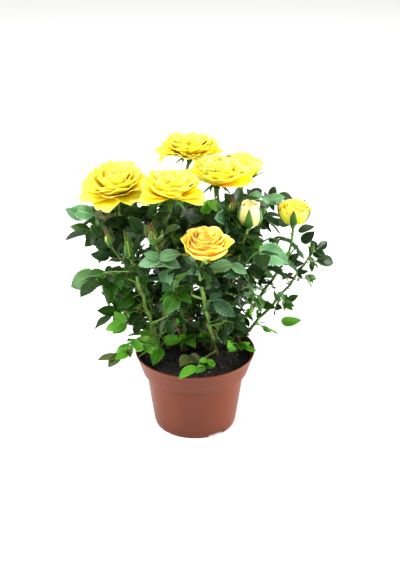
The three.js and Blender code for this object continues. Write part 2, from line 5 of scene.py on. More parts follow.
import bpy
import numpy as np
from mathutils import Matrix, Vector


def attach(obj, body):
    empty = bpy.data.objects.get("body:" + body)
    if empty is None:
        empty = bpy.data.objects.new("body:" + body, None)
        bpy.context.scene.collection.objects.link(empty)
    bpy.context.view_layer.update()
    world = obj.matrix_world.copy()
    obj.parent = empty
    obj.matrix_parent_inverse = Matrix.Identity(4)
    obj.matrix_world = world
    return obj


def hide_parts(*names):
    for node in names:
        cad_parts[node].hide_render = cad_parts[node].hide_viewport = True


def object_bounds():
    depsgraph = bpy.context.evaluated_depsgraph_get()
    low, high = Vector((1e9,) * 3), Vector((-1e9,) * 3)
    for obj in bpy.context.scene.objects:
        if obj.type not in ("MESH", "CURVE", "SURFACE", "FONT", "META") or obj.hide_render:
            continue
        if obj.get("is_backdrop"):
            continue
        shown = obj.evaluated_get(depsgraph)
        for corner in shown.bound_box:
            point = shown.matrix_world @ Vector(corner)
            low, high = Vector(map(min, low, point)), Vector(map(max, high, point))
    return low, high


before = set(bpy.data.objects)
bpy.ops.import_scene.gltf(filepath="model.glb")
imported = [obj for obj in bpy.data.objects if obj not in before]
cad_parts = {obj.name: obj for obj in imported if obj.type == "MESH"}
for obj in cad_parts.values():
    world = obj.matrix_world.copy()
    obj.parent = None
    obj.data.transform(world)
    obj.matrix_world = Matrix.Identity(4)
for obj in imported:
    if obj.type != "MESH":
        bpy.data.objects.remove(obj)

boxOfSolids = [list(corner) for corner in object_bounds()]

mm = 0.001
up = np.array([0.0, 0.0, 1.0])
gold = math.radians(137.5)  # the turn from one leaf or petal to the next

# The plan of the bush, as in the part's source

pot = {
    "rimRadius": 60, "height": 81, "collarRadius": 52.9, "collarFoot": 57, "wallRadius": 49.2,
    "footRadius": 40.3, "ringWidth": 2, "footLift": 3, "padRadius": 15, "wall": 1.6, "step": 2.5,
    "flare": 1.2, "holes": 6, "holeRadius": 3.5, "holeCircle": 27,
    "notches": 3, "notchWidth": 18, "notchHeight": 2.8, "firstNotch": 33,
}
fillLevel = 74  # height of the compost's top
clearance = 0.3  # gap left between neighbouring solids
spaceGap = 1.2  # how much nearer a leaf's points are to their own stem than to any other
limbGap = 1.1  # from a leaf to the skin of a cane or a flower's stalk
leafGap = 3  # between the outlines of the leaves on one stem
endLeaflet = 33  # length of the end leaflet of a leaf of size 1
leafletShape = 0.64  # a leaflet's width over its length
widest = 0.43  # how far along it is widest
rootDepth = 0.25  # how far a leaflet's foot lies under the middle of its stalk
stemRadius = 1.2  # of a side shoot at its foot
attempts = 12  # tries for each random leaf
onward = 0.45  # how far a curve keeps to its first heading, as a share of its length

# foot (x, y), a point half way up, tip, radii at foot and tip
canes = {
    "front_left": ((-35, 9), (-45, -22, 130), (-57, -53, 196.5), (2.0, 1.5)),
    "front": ((21, 3), (12, -28, 131.5), (5, -60, 187), (2.1, 1.6)),
    "right": ((31, 11), (57, -4, 129), (84, -5, 174), (2.0, 1.4)),
    "far_right": ((37, 18), (74, 5, 124), (106, 0, 173), (1.8, 1.2)),
    "inner_right": ((13, 11), (29, -8, 136), (43, -26, 200), (2.2, 1.6)),
    "left": ((-25, 14), (-47, -2, 143), (-68, -6, 216), (2.4, 1.7)),
    "mid_left": ((-11, 9), (-14, -7, 145), (-20, -30, 225), (2.5, 1.8)),
    "top": ((-5, 27), (-6, 24, 154), (-9, 28, 238), (2.6, 1.8)),
    "mid_right": ((6, 19), (15, 7, 148), (22, -2, 231), (2.5, 1.8)),
    "back_right": ((20, 28), (34, 34, 147), (46, 39, 221), (2.3, 1.6)),
    "back": ((-4, 42), (-8, 62, 132), (-10, 78, 186), (2.3, 1.6)),
    "back_left": ((-22, 30), (-46, 43, 132), (-70, 52, 190), (2.2, 1.5)),
    "rear_right": ((14, 42), (36, 58, 126), (60, 72, 176), (2.1, 1.5)),
}

# on the cane of the same name: where its petals start, the way it faces, its radius and height
blooms = {
    "top": dict(base=(-5, 54, 265), faces=(0, 0.06, 1), radius=31, height=25),
    "left": dict(base=(-74, 3, 247), faces=(-0.08, -0.16, 1), radius=30.5, height=25),
    "mid_left": dict(base=(-21.5, -42.5, 260.5), faces=(0.06, 0, 1), radius=27.5, height=24),
    "mid_right": dict(base=(21, 0.5, 256), faces=(0.04, 0.05, 1), radius=31, height=23),
    "back_right": dict(base=(45, 44, 246), faces=(0.1, 0.08, 1), radius=19.5, height=22),
    "front": dict(base=(10.5, -79, 217), faces=(0, -0.1, 1), radius=20, height=24),
    "inner_right": dict(base=(51, -25, 225.5), faces=(0.02, -0.1, 1), radius=11.5, height=23),
    "right": dict(base=(94.5, 5, 214), faces=(0.04, -0.05, 1), radius=15, height=21),
    "back": dict(base=(-22, 92, 206), faces=(-0.15, 0.4, 1), radius=26, height=23),
}

# its cane and how far up, its tip, its leaves and their size, its bud, and leaves that are aimed:
# how far up the stem, where the tip goes, size, leaflets, and in the looks alone its colour
shoots = {
    "left_upper": ("left", 0.84, (-92, -8, 216), 3, 0.7, 0,
                   [(0.95, -122, -8, 236, 0.6, 1, "pale"), (0.6, -120, -11, 222, 0.68, 3, "green")]),
    "left_bud": ("left", 0.66, (-77.5, -54, 218), 5, 0.7, 13, [(0.8, -111, -31, 228, 0.66, 1, "green")]),
    "left_front": ("front_left", 0.86, (-86, -48, 187), 2, 0.8, 0,
                   [(0.97, -125, -46, 174, 1.05, 1, "green"), (0.8, -78, -70, 164, 0.9, 1, "green"),
                    (0.6, -123, -30, 200, 0.8, 3, "deep")]),
    "front_left_bud": ("front_left", 1, (-59.5, -57, 208), 4, 0.6, 16, []),
    "inner_bud": ("mid_left", 0.72, (-37, -65, 224), 6, 0.7, 15, []),
    "left_low": ("left", 0.36, (-68, -22, 134), 4, 0.75, 0,
                 [(0.95, -94, -36, 141, 0.65, 3, "green"), (0.6, -93, -28, 112, 0.72, 1, "blue")]),
    "left_base": ("front_left", 0.14, (-56, -28, 104), 1, 0.5, 0,
                  [(0.97, -96, -47, 108, 0.55, 3, "olive"), (0.6, -76, -50, 97, 0.5, 1, "fresh")]),
    "front_base": ("front", 0.05, (6, -34, 86), 1, 0.42, 0, [(0.9, -16, -62, 83, 0.66, 1, "fresh")]),
    "right_base": ("right", 0.1, (44, -14, 92), 2, 0.5, 0,
                   [(0.9, 50, -29, 82, 0.48, 1, "green"), (0.6, 61, -18, 99, 0.5, 3, "fresh")]),
    "right_low": ("far_right", 0.28, (62, -8, 114), 1, 0.5, 0, [(0.97, 104, -28, 127, 0.68, 1, "fresh")]),
    "right_mid": ("right", 0.5, (56, -32, 160), 3, 0.55, 0, []),
    "right_tip": ("far_right", 1, (112, -3, 187), 2, 0.5, 9,
                  [(0.6, 140, 3, 174, 0.66, 1, "deep"), (0.3, 129, -3, 168, 0.5, 1, "deep")]),
    "right_upper": ("right", 0.92, (96, -10, 196), 3, 0.55, 0, [(0.97, 113, -14, 214, 0.5, 1, "deep")]),
    "top_right": ("back_right", 0.88, (68, 34, 228), 2, 0.7, 0,
                  [(0.97, 90, 33, 230, 0.6, 1, "pale"), (0.8, 80, 22, 216, 0.6, 1, "deep")]),
    "inner_right": ("inner_right", 0.78, (61, -46, 213), 3, 0.75, 0,
                    [(0.97, 89, -46, 196, 1.0, 1, "pale"), (0.6, 90, -26, 220, 0.7, 3, "deep")]),
    "front_mid": ("front", 0.76, (-16, -68, 184), 5, 0.75, 0, []),
    "front_low": ("front", 0.4, (30, -54, 140), 3, 0.62, 0, []),
    "inner_low": ("front_left", 0.42, (-24, -46, 142), 3, 0.65, 0, []),
    "high_right": ("mid_right", 0.84, (33.5, -23, 237), 6, 0.7, 12, []),
    "high_left": ("mid_left", 0.84, (-42, -2, 230), 6, 0.75, 0, []),
    "back_left_tip": ("back_left", 1, (-80, 56, 206), 5, 0.95, 14, []),
    "back_left_low": ("back_left", 0.4, (-66, 52, 134), 4, 0.9, 0, []),
    "back_low": ("back", 0.4, (-16, 84, 138), 5, 0.95, 0, []),
    "rear_right_low": ("rear_right", 0.4, (56, 66, 130), 4, 0.85, 0, []),
    "rear_right_tip": ("rear_right", 1, (68, 78, 194), 4, 0.95, 14, []),
    "back_high": ("top", 0.8, (-30, 54, 220), 5, 0.9, 0, []),
    "left_back": ("left", 0.76, (-82, 28, 204), 5, 0.8, 0, []),
    "back_mid": ("top", 0.44, (-30, 42, 168), 4, 0.9, 0, []),
    "right_back": ("back_right", 0.62, (76, 38, 186), 3, 0.75, 0, []),
    "heart": ("mid_right", 0.5, (10, 34, 186), 5, 0.9, 0, []),
    "mid_left_low": ("mid_left", 0.4, (-37, 8, 178), 4, 0.8, 0, []),
    "middle_low": ("mid_right", 0.3, (2, -24, 142), 3, 0.65, 0, []),
    "inner_right_low": ("inner_right", 0.36, (46, -26, 138), 3, 0.65, 0, []),
    "back_right_low": ("back_right", 0.3, (48, 24, 126), 3, 0.75, 0, []),
}
youngShoots = ("left_base", "front_base", "right_base", "right_low")


# Vectors, curves and random draws

def unit(v):
    return v / np.linalg.norm(v, axis=-1, keepdims=True)


def mix(a, b, t):
    return a + (b - a) * t


# v turned about unit axes by an angle: its part along the axis stays and the rest goes round
def turned(v, axis, angle):
    c, s = np.cos(angle)[..., None], np.sin(angle)[..., None]
    along = np.sum(v * axis, -1, keepdims=True) * axis
    return v * c + np.cross(axis, v) * s + along * (1 - c)


# A quadratic curve is three points: (1-t)^2 a + 2t(1-t) b + t^2 c
def curveAt(curve, t):
    t = np.asarray(t, float)[..., None]
    return (1 - t) ** 2 * curve[0] + 2 * t * (1 - t) * curve[1] + t ** 2 * curve[2]


def headingAt(curve, t):
    t = np.asarray(t, float)[..., None]
    return unit((1 - t) * (curve[1] - curve[0]) + t * (curve[2] - curve[1]))


def bend(start, heading, end):
    return np.array([start, start + heading * np.linalg.norm(end - start) * onward, end])


# Park and Miller's generator, the same as in the part's source
def stream(seed):
    state = seed * 7919 + 17
    first = True
    while True:
        state = state * 16807 % 2147483647
        if not first:
            yield state / 2147483647
        first = False


# Smooth noise from 0 to 1: random values on a lattice, eased between its points
def softNoise(x, y, pitch, seed):
    lattice = np.random.default_rng(seed).random((64, 64))
    gx, gy = x / pitch + 1000, y / pitch + 1000
    ix, iy = np.floor(gx).astype(int), np.floor(gy).astype(int)
    fx, fy = gx - ix, gy - iy
    fx, fy = fx * fx * (3 - 2 * fx), fy * fy * (3 - 2 * fy)
    corner = lambda i, j: lattice[(ix + i) % 64, (iy + j) % 64]
    return mix(mix(corner(0, 0), corner(1, 0), fx), mix(corner(0, 1), corner(1, 1), fx), fy)


# The growth rule

# distance from each point to each short line
def distances(points, starts, ends):
    line = ends - starts
    offset = points[:, None] - starts
    along = np.clip((offset * line).sum(-1) / (line * line).sum(-1), 0, 1)
    return np.linalg.norm(offset - along[..., None] * line, axis=-1)


caneCurves, caneRadii = {}, {}
for name, (foot, middle, tip, radii) in canes.items():
    a, m, b = np.array([*foot, fillLevel + clearance]), np.array(middle, float), np.array(tip, float)
    caneCurves[name] = np.array([a, 2 * m - 0.5 * a - 0.5 * b, b])
    caneRadii[name] = radii


# a cane is thicker right at its foot
def caneRadius(name, t):
    return mix(*caneRadii[name], t) * (1 + 0.45 * np.exp(-22 * t))


# a flower's stalk starts nearly as thick as its cane's tip
def stalkRadius(name, t):
    return mix(caneRadii[name][1] * 0.95, 1.3, t)


for name, bloom in blooms.items():
    curve = caneCurves[name]
    heading = headingAt(curve, 1)
    bloom["axis"] = unit(np.array(bloom["faces"], float))
    bloom["base"] = np.array(bloom["base"], float)
    bloom["curve"] = bend(curve[2] + heading * clearance, heading, bloom["base"])

shootCurves = {}
for name, (cane, at, tip, *_) in shoots.items():
    root, heading = curveAt(caneCurves[cane], at), headingAt(caneCurves[cane], at)
    tip = np.array(tip, float)
    if at == 1:
        shootCurves[name] = bend(root + heading * clearance, heading, tip)
    else:
        away = tip - root
        away = unit(away - heading * (away @ heading))
        root = root + away * (caneRadius(cane, at) + clearance + 0.75 * stemRadius)
        shootCurves[name] = bend(root, unit(away + heading), tip)

limbSteps = 10
limbTimes = np.arange(limbSteps + 1) / limbSteps
limbs = [(caneCurves[name], caneRadius(name, limbTimes)) for name in canes]
limbs += [(bloom["curve"], stalkRadius(name, limbTimes)) for name, bloom in blooms.items()]
limbPoints = np.array([curveAt(curve, limbTimes) for curve, _ in limbs])
limbStarts, limbEnds = limbPoints[:, :-1].reshape(-1, 3), limbPoints[:, 1:].reshape(-1, 3)
limbRadii = np.concatenate([radii[:-1] for _, radii in limbs])

stemSteps = 6
stemTimes = np.arange(stemSteps + 1) / stemSteps
stemPoints = np.array([curveAt(curve, stemTimes) for curve in shootCurves.values()])
stemStarts, stemEnds = stemPoints[:, :-1].reshape(-1, 3), stemPoints[:, 1:].reshape(-1, 3)


# how far leaves stay from the rim on its inside and outside, above the filling and above the rim
rimGaps = {"inside": 6, "outside": 2, "filling": 2, "over": 1.5}


def aboveGround(p):
    radius = np.hypot(p[:, 0], p[:, 1])
    inside = (radius < pot["rimRadius"] - rimGaps["inside"]) & (p[:, 2] > fillLevel + rimGaps["filling"])
    outside = (radius > pot["rimRadius"] + rimGaps["outside"]) & (p[:, 2] > pot["collarFoot"])
    return (p[:, 2] > pot["height"] + rimGaps["over"]) | inside | outside


# The room a flower takes is a goblet round its axis: at height h above where its petals start it is
# radius (foot + spread sqrt(h / (opensBy height))) + gap wide, and further up as wide as at opensBy
goblet = {"opensBy": 0.4, "foot": 0.25, "spread": 0.9, "gap": 2, "under": 5, "over": 3}


def clearOfBlooms(p, share=1.0):
    free = np.ones(len(p), bool)
    for bloom in blooms.values():
        offset = p - bloom["base"]
        height = offset @ bloom["axis"]
        radius = np.sqrt(np.maximum(0, (offset * offset).sum(1) - height ** 2))
        opened = np.sqrt(np.clip(height / (bloom["height"] * goblet["opensBy"]), 0, 1))
        girth = share * bloom["radius"] * (goblet["foot"] + goblet["spread"] * opened) + goblet["gap"]
        over = height > bloom["height"] + goblet["over"]
        free &= (height < -goblet["under"]) | over | (radius > girth)
    return free


def clearOfLimbs(p, gap=limbGap):
    return (distances(p, limbStarts, limbEnds) > limbRadii + gap).all(1)


def inOwnSpace(index, p):
    away = distances(p, stemStarts, stemEnds).reshape(len(p), -1, stemSteps).min(2)
    own = away[:, index].copy()
    away[:, index] = np.inf
    return own + spaceGap < away.min(1)


# Two rules keep the front of the bush open: leaves stand aside from the canes and the buds in front,
# and leave the near half of the compost to be seen. Both look along the line of sight of someone
# facing it. The finer growth keeps out of a hollow too (left, right, near, low, high), and stays
# under the crown.
sight = {"fall": math.tan(math.radians(25.5)), "canes": ("front_left", "front"), "aisle": 4.6, "top": 182,
         "buds": ("left_bud", "front_left_bud", "inner_bud"), "stem": 0.4, "budShare": 1.3,
         "clearing": 54, "depth": 6, "hollow": (-40, 8, -14, 100, 172), "crown": 243}


# a bud turns up from its stem
def budAxis(curve):
    return unit(headingAt(curve, 1) + up)


inSight = []
for name in sight["canes"]:
    path = curveAt(caneCurves[name], np.linspace(0, 1, 41))
    inSight.append(path[path[:, 2] < sight["top"]])
for name in sight["buds"]:
    curve, length = shootCurves[name], shoots[name][5] * sight["budShare"]
    stem = curveAt(curve, np.linspace(sight["stem"], 1, 13))
    inSight.append(np.concatenate([stem, stem[-1:] + budAxis(curve) * length]))


def clearOfSight(p, soilToo=True):
    free = np.ones(len(p), bool)
    level = p[:, 2] + p[:, 1] * sight["fall"]
    for path in inSight:
        line = path[:, 2] + path[:, 1] * sight["fall"]
        x, y = np.interp(level, line, path[:, 0]), np.interp(level, line, path[:, 1])
        seen = (level > line[0]) & (level < line[-1]) & (np.abs(p[:, 0] - x) < sight["aisle"])
        free &= ~(seen & (p[:, 1] < y))
    if soilToo:
        y = p[:, 1] + (p[:, 2] - fillLevel) / sight["fall"]
        free &= ~((np.hypot(p[:, 0], y) < sight["clearing"]) & (y < sight["depth"]))
    return free


front = np.array([0.05, -0.75, 0.66])  # which way an aimed leaf faces, as far as its heading lets it


# A batch of compound leaves: straight stalks, and the way each end leaflet heads on
def leavesFrom(root, direction, length, drop, roll, size, toward=None):
    joint = root + direction * length[:, None]
    heading = unit(direction - up * drop[:, None])
    facing = up + 0.7 * unit(joint * [1, 1, 0]) if toward is None else toward
    facing = unit(facing - heading * np.sum(facing * heading, 1, keepdims=True))
    return dict(root=np.broadcast_to(root, joint.shape), joint=joint, heading=heading,
                facing=turned(facing, heading, roll), size=size)


# share of the stalk, turn to the side, length; the last pair is only in the looks
leafletPlan = np.array([(0.97, 0, endLeaflet), (0.62, 1.1, 27), (0.62, -1.1, 27), (0.3, 1.25, 20),
                        (0.3, -1.25, 20)])
# points on a leaflet's midrib and round its rim: share of its length along and of its width aside
outline = np.array([(0.2, 0), (0.6, 0), (1, 0), (widest, 0.5), (0.7, 0.26), (0.22, 0.25),
                    (widest, -0.5), (0.7, -0.26), (0.22, -0.25)])


def leafletsOf(leaf, plan):
    share, turn, length = plan.T
    base = mix(leaf["root"][:, None], leaf["joint"][:, None], share[:, None])
    facing = np.broadcast_to(leaf["facing"][:, None], base.shape)
    heading = np.broadcast_to(leaf["heading"][:, None], base.shape)
    along = turned(heading, facing, np.broadcast_to(turn, base.shape[:2]))
    length = length * leaf["size"][:, None]
    return dict(base=base - facing * rootDepth, along=along, facing=facing, length=length)


# points on leaflets, by their reach along and their way to the side as shares of the length
def onLeaflets(leaflets, reach, side):
    across = np.cross(leaflets["facing"], leaflets["along"])
    length = leaflets["length"][..., None, None]
    return (leaflets["base"][..., None, :] + leaflets["along"][..., None, :] * reach * length
            + across[..., None, :] * side * length)


def outlineOf(leaflets):
    reach, side = outline.T[..., None]
    return onLeaflets(leaflets, reach, side * leafletShape)


# how a random leaf turns on from try to try and wavers, its spread from the stem, its stalk's length,
# its pull outwards and to the level, and its greatest drop and roll
leafHabit = {"turnOn": 0.9, "waver": 0.6, "spread": (0.7, 1.35), "stalk": (15, 27), "outward": 0.3,
             "level": 0.1, "levelling": 0.5, "drop": 0.25, "roll": 1.4}


# One random leaf in several tries from a root on a stem, the same draws as the source's
def triesFrom(curve, along, size, draw, firstTurn, k, count=attempts, shrink=0.03):
    root, heading = curveAt(curve, along), headingAt(curve, along)
    outward = unit(root * [1, 1, 0])
    sideways = unit(np.cross(heading, up))
    rising = np.cross(sideways, heading)
    d = np.array([next(draw) for _ in range(5 * count)]).reshape(count, 5)
    tries = np.arange(count)
    habit = leafHabit
    turn = firstTurn + k * gold + tries * habit["turnOn"] + (d[:, 0] - 0.5) * habit["waver"]
    spread = mix(*habit["spread"], d[:, 1])
    sizes = size * (1 - shrink * tries)
    length = sizes * mix(*habit["stalk"], d[:, 2])
    away, around = np.sin(spread) * np.cos(turn), np.sin(spread) * np.sin(turn)
    direction = unit(sideways * away[:, None] + rising * around[:, None] + heading * np.cos(spread)[:, None]
                     + outward * habit["outward"])
    direction[:, 2] = mix(direction[:, 2], habit["level"], habit["levelling"])
    return leavesFrom(root, unit(direction), length, mix(0, habit["drop"], d[:, 3]),
                      (d[:, 4] - 0.5) * habit["roll"], sizes)


grown = []  # every leaf: its stalk, its leaflets and what it grows from
stalkShares = np.array([0.3, 0.5, 0.75, 1])[:, None]


def keepLeaf(leaf, leaflets, i, fits, source, young, tint=None):
    kept = {key: leaflets[key][i][fits] for key in leaflets}
    grown.append(dict(
        tint=tint, root=leaf["root"][i], joint=leaf["joint"][i], top=leaf["facing"][i],
        size=leaf["size"][i], shares=leafletPlan[fits, 0], source=source, young=young, **kept))


def growShoot(index, name):
    count, size, _, aimed = shoots[name][3:]
    curve, young = shootCurves[name], name in youngShoots
    draw = stream(index + 1)
    firstTurn = 2 * math.pi * next(draw)
    taken = np.zeros((0, 3))

    def fitting(leaf):
        leaflets = leafletsOf(leaf, leafletPlan)
        rims = outlineOf(leaflets)
        stalks = mix(leaf["root"][:, None], leaf["joint"][:, None], stalkShares)
        p = np.concatenate([stalks.reshape(-1, 3), rims.reshape(-1, 3)])
        free = aboveGround(p) & clearOfBlooms(p) & clearOfLimbs(p) & inOwnSpace(index, p)
        free &= clearOfSight(p, not young)
        n = stalks.shape[0] * stalks.shape[1]
        stalkFree = free[:n].reshape(stalks.shape[:2]).all(1)
        if len(taken):
            gaps = np.linalg.norm(rims.reshape(-1, 1, 3) - taken, axis=-1).min(1) > leafGap
            free[n:] &= gaps
        fits = free[n:].reshape(rims.shape[:3]).all(2) & stalkFree[:, None]
        fits[:, 1:] &= fits[:, :1]
        return leaflets, rims, fits

    def keep(leaf, leaflets, rims, fits, i, tint=None):
        nonlocal taken
        if not fits[i, 0]:
            return
        keepLeaf(leaf, leaflets, i, fits[i], name, young, tint)
        taken = np.concatenate([taken, rims[i, :3][fits[i, :3]].reshape(-1, 3)])

    for along, x, y, z, own, leafletCount, tint in aimed:
        root = curveAt(curve, along)
        direction = np.array([x, y, z]) - root
        length = np.linalg.norm(direction) - endLeaflet * own
        none = np.zeros(1)
        leaf = leavesFrom(root, unit(direction)[None], np.array([length]), none, none, np.array([own]),
                          front)
        leaflets, rims, fits = fitting(leaf)
        fits[:, leafletCount:] = False
        keep(leaf, leaflets, rims, fits, 0, tint)
    for k in range(count):
        leaf = triesFrom(curve, (k + 0.8) / count, size, draw, firstTurn, k)
        leaflets, rims, fits = fitting(leaf)
        keep(leaf, leaflets, rims, fits, int(np.argmax(fits[:, :3].sum(1))))


for index, name in enumerate(shoots):
    growShoot(index, name)
print(f"leaves that the source has too: {len(grown)}, leaflets {sum(len(g['shares']) for g in grown)}")


# A leaflet's width along it, as a share of its widest: broad below the middle, and drawn out to a point
def leafletWidth(t):
    return 2.97 * t ** 0.64 * (1 - np.minimum(t, 1))


# The looks have more leaves than the source. Room for them is kept in a lattice of small cells,
# marked over the whole blade of each leaflet: its cell's size, its corner and how many cells it has.
roomPlan = {"cell": 2.6, "corner": (165, 165, 0), "cells": (140, 140, 130)}
room = np.zeros(roomPlan["cells"], bool)
bladeT, bladeS = np.meshgrid(np.linspace(0.08, 0.98, 10), np.linspace(-0.8, 0.8, 5), indexing="ij")
bladeReach = bladeT.reshape(-1, 1)
bladeSide = (bladeS * leafletWidth(bladeT) * leafletShape / 2).reshape(-1, 1)


def cellsOf(p):
    numbers = ((p + roomPlan["corner"]) / roomPlan["cell"]).astype(int)
    return tuple(numbers.clip(0, np.array(roomPlan["cells"]) - 1).T)


def bladesOf(leaflets):
    return onLeaflets(leaflets, bladeReach, bladeSide)


def markRoom(leaves):
    for leaf in leaves:
        covered = bladesOf({key: leaf[key] for key in ("base", "along", "facing", "length")})
        room[cellsOf(covered.reshape(-1, 3))] = True


markRoom(grown)

# Leaves that stand out, only in the looks: where the stalk starts, where it ends, its colour, and the
# leaflets, each with its share of the stalk and its tip
features = [
    ((-58, -52, 190), (-84, -58, 192), "green", [(0.9, (-104, -54, 182)), (0.55, (-66, -66, 178))]),
    ((-62, -30, 124), (-68, -40, 130), "fresh",
     [(1, (-86, -46, 126)), (0.9, (-76, -46, 144)), (0.6, (-80, -44, 120))]),
    ((-36, 2, 78), (-36, -6, 87), "fresh",
     [(1, (-58, -14, 99)), (0.95, (-57, -22, 86)), (0.8, (-52, -12, 106)), (0.7, (-40, -28, 84))]),
    ((-34, 2, 82), (-31, -6, 92), "fresh", [(1, (-13, -10, 98))]),
    ((-40, -20, 92), (-60, -48, 102), "fresh", [(0.6, (-62, -34, 112))]),
    ((-4, -18, 75), (-5, -28, 88), "olive", [(1, (-14, -46, 87)), (0.9, (4, -40, 89))]),
    ((8, -22, 75), (9, -30, 81), "fresh", [(1, (3, -44, 79)), (0.8, (18, -38, 80))]),
    ((8, -34, 78), (2, -52, 88.5), "fresh", [(1, (-17, -61, 83))]),
    ((-56, -24, 98), (-76, -40, 94), "olive",
     [(1, (-95, -44, 92.5)), (0.85, (-84, -52, 88)), (0.4, (-62, -44, 94))]),
    ((36, -2, 80), (42, -12, 92), "fresh", [(1, (52, -22, 93)), (0.8, (34, -24, 91))]),
    ((60, -4, 112), (67, -14, 112), "fresh", [(1, (75, -18, 109))]),
    ((107, 0, 175), (118, 1, 176), "green", [(1, (129, 2, 181)), (0.6, (113, -8, 168))]),
    ((56, 36, 224), (66, 34, 232), "pale", [(1, (50, 30, 234)), (0.9, (76, 30, 222))]),
    ((88, -6, 176), (90, -14, 181), "deep",
     [(1, (99, -15, 194)), (0.8, (104, -18, 183)), (0.7, (80, -16, 190))]),
    ((92, 0, 206), (98, -10, 213), "deep", [(1, (114, -14, 221))]),
    ((28, -58, 196), (34, -68, 205), "pale", [(1, (11, -73, 202)), (0.9, (48, -70, 196))]),
    ((11, -38, 152), (18, -52, 160), "blue",
     [(1, (40, -55, 143)), (0.8, (8, -58, 150)), (0.6, (26, -54, 168))]),
    ((-40, -40, 216), (-47, -42, 226), "deep",
     [(1, (-60, -42, 241)), (0.9, (-66, -44, 226)), (0.8, (-34, -44, 238))]),
    ((-34, -52, 196), (-32, -60, 208), "pale",
     [(1, (-47, -62, 213)), (0.9, (-14, -63, 215)), (0.75, (-52, -63, 202)), (0.7, (-12, -64, 201))]),
    ((20, -4, 238), (13, -20, 249), "fresh", [(1, (8, -30, 234)), (0.8, (22, -28, 240))]),
    ((-2, -40, 196), (-4, -52, 190), "deep",
     [(1, (-24, -62, 190)), (0.9, (-10, -62, 174)), (0.8, (10, -64, 180))]),
    ((20, -2, 222), (10, -18, 226), "deep",
     [(1, (-8, -26, 230)), (0.8, (8, -30, 214)), (0.7, (26, -24, 222))]),
    ((-60, -4, 214), (-66, -20, 222), "deep",
     [(1, (-81, -28, 233)), (0.9, (-72, -36, 238)), (0.7, (-54, -34, 224))]),
    ((-86, -4, 219), (-95, -9, 229), "pale", [(1, (-121.5, -9, 238))]),
]
featureLooks = {"seed": 480, "unevenness": 0.22, "size": 0.8}


def placeFeatures():
    rng = np.random.default_rng(featureLooks["seed"])
    for root, joint, tint, leaflets in features:
        root, joint = np.array(root, float), np.array(joint, float)
        shares = np.array([share for share, _ in leaflets])
        base = mix(root, joint, shares[:, None])
        along = np.array([tip for _, tip in leaflets], float) - base
        length = np.linalg.norm(along, axis=1)
        along = along / length[:, None]
        facing = front + rng.normal(0, featureLooks["unevenness"], (len(leaflets), 3))
        facing = unit(facing - along * np.sum(facing * along, 1, keepdims=True))
        heading = unit(joint - root)
        top = unit(front - heading * (front @ heading))
        grown.append(dict(
            tint=tint, root=root, joint=joint, top=top, size=featureLooks["size"], shares=shares, base=base,
            along=along, facing=facing, length=length, source="features", young=False))


placeFeatures()
markRoom(grown)

# Deep shade, only in the looks: dark compound leaves on a stretch of the crown right under the blooms,
# and behind the feet of the canes in front. Tries are scattered in a box, whose level is along the
# line of sight, and a leaf stays where its leaflets find room. Side twigs join them to the stems.
canopies = [
    {"tries": 300, "x": (-98, 44), "y": (2, 40), "level": (214, 238), "stalk": 17, "size": (0.6, 0.85)},
    {"tries": 200, "x": (-52, 42), "y": (8, 46), "level": (96, 150), "stalk": 15, "size": (0.55, 0.8)},
]
canopyLooks = {"seed": 482, "outward": 0.012, "centre": -20, "drop": 0.4, "roll": 0.5, "bloomShare": 0.8,
               "limbGap": 0.5, "greenEvery": 9, "firstGreen": 4}
fewestLeaflets = 2


def growCanopy(seed, canopy):
    rng = np.random.default_rng(seed)
    n = canopy["tries"]
    x, y, level = (rng.uniform(*canopy[key], n) for key in ("x", "y", "level"))
    joint = np.stack([x, y, level - y * sight["fall"]], 1)
    outward = canopyLooks["outward"] * (x - canopyLooks["centre"])
    direction = unit(np.stack([outward, rng.normal(-0.2, 0.5, n), rng.uniform(0.1, 0.8, n)], 1))
    root = joint - direction * canopy["stalk"]
    zero = np.zeros(n)
    leaves = leavesFrom(root, direction, zero + canopy["stalk"], zero + canopyLooks["drop"],
                        rng.normal(0, canopyLooks["roll"], n), rng.uniform(*canopy["size"], n))
    leaflets = leafletsOf(leaves, leafletPlan)
    rims = outlineOf(leaflets)
    p = rims.reshape(-1, 3)
    free = clearOfBlooms(p, canopyLooks["bloomShare"]) & clearOfSight(p) & aboveGround(p)
    fits = free.reshape(rims.shape[:3]).all(2)
    fits &= fits[:, :1] & clearOfLimbs(joint, canopyLooks["limbGap"])[:, None]
    covered = bladesOf(leaflets)
    for i in np.flatnonzero(fits[:, 0]):
        fits[i] &= ~room[cellsOf(covered[i].reshape(-1, 3))].reshape(covered.shape[1:3]).any(1)
        if fits[i].sum() < fewestLeaflets:
            continue
        green = i % canopyLooks["greenEvery"] == canopyLooks["firstGreen"]
        keepLeaf(leaves, leaflets, i, fits[i], "canopy", False, "green" if green else "deep")
        markRoom(grown[-1:])


for i, canopy in enumerate(canopies):
    growCanopy(canopyLooks["seed"] + i, canopy)

# Thin wiry twigs with small leaves, only in the looks: where each starts, bends and ends
wisps = [
    ((60, -6, 132), (72, -18, 146), (84, -16, 142)), ((64, -6, 141), (80, -20, 168), (96, -20, 172)),
    ((50, -10, 158), (62, -24, 178), (78, -24, 186)), ((70, 2, 124), (84, -10, 130), (88, -14, 140)),
    ((38, -12, 146), (52, -26, 168), (60, -28, 172)), ((-18, -10, 150), (-28, -34, 140), (-14, -40, 118)),
    ((92, -2, 156), (104, -10, 166), (110, -14, 163)), ((-44, -20, 128), (-62, -34, 150), (-80, -36, 158)),
    ((30, -8, 130), (46, -24, 124), (58, -24, 132)), ((-2, -8, 118), (-20, -24, 128), (-30, -26, 112)),
]
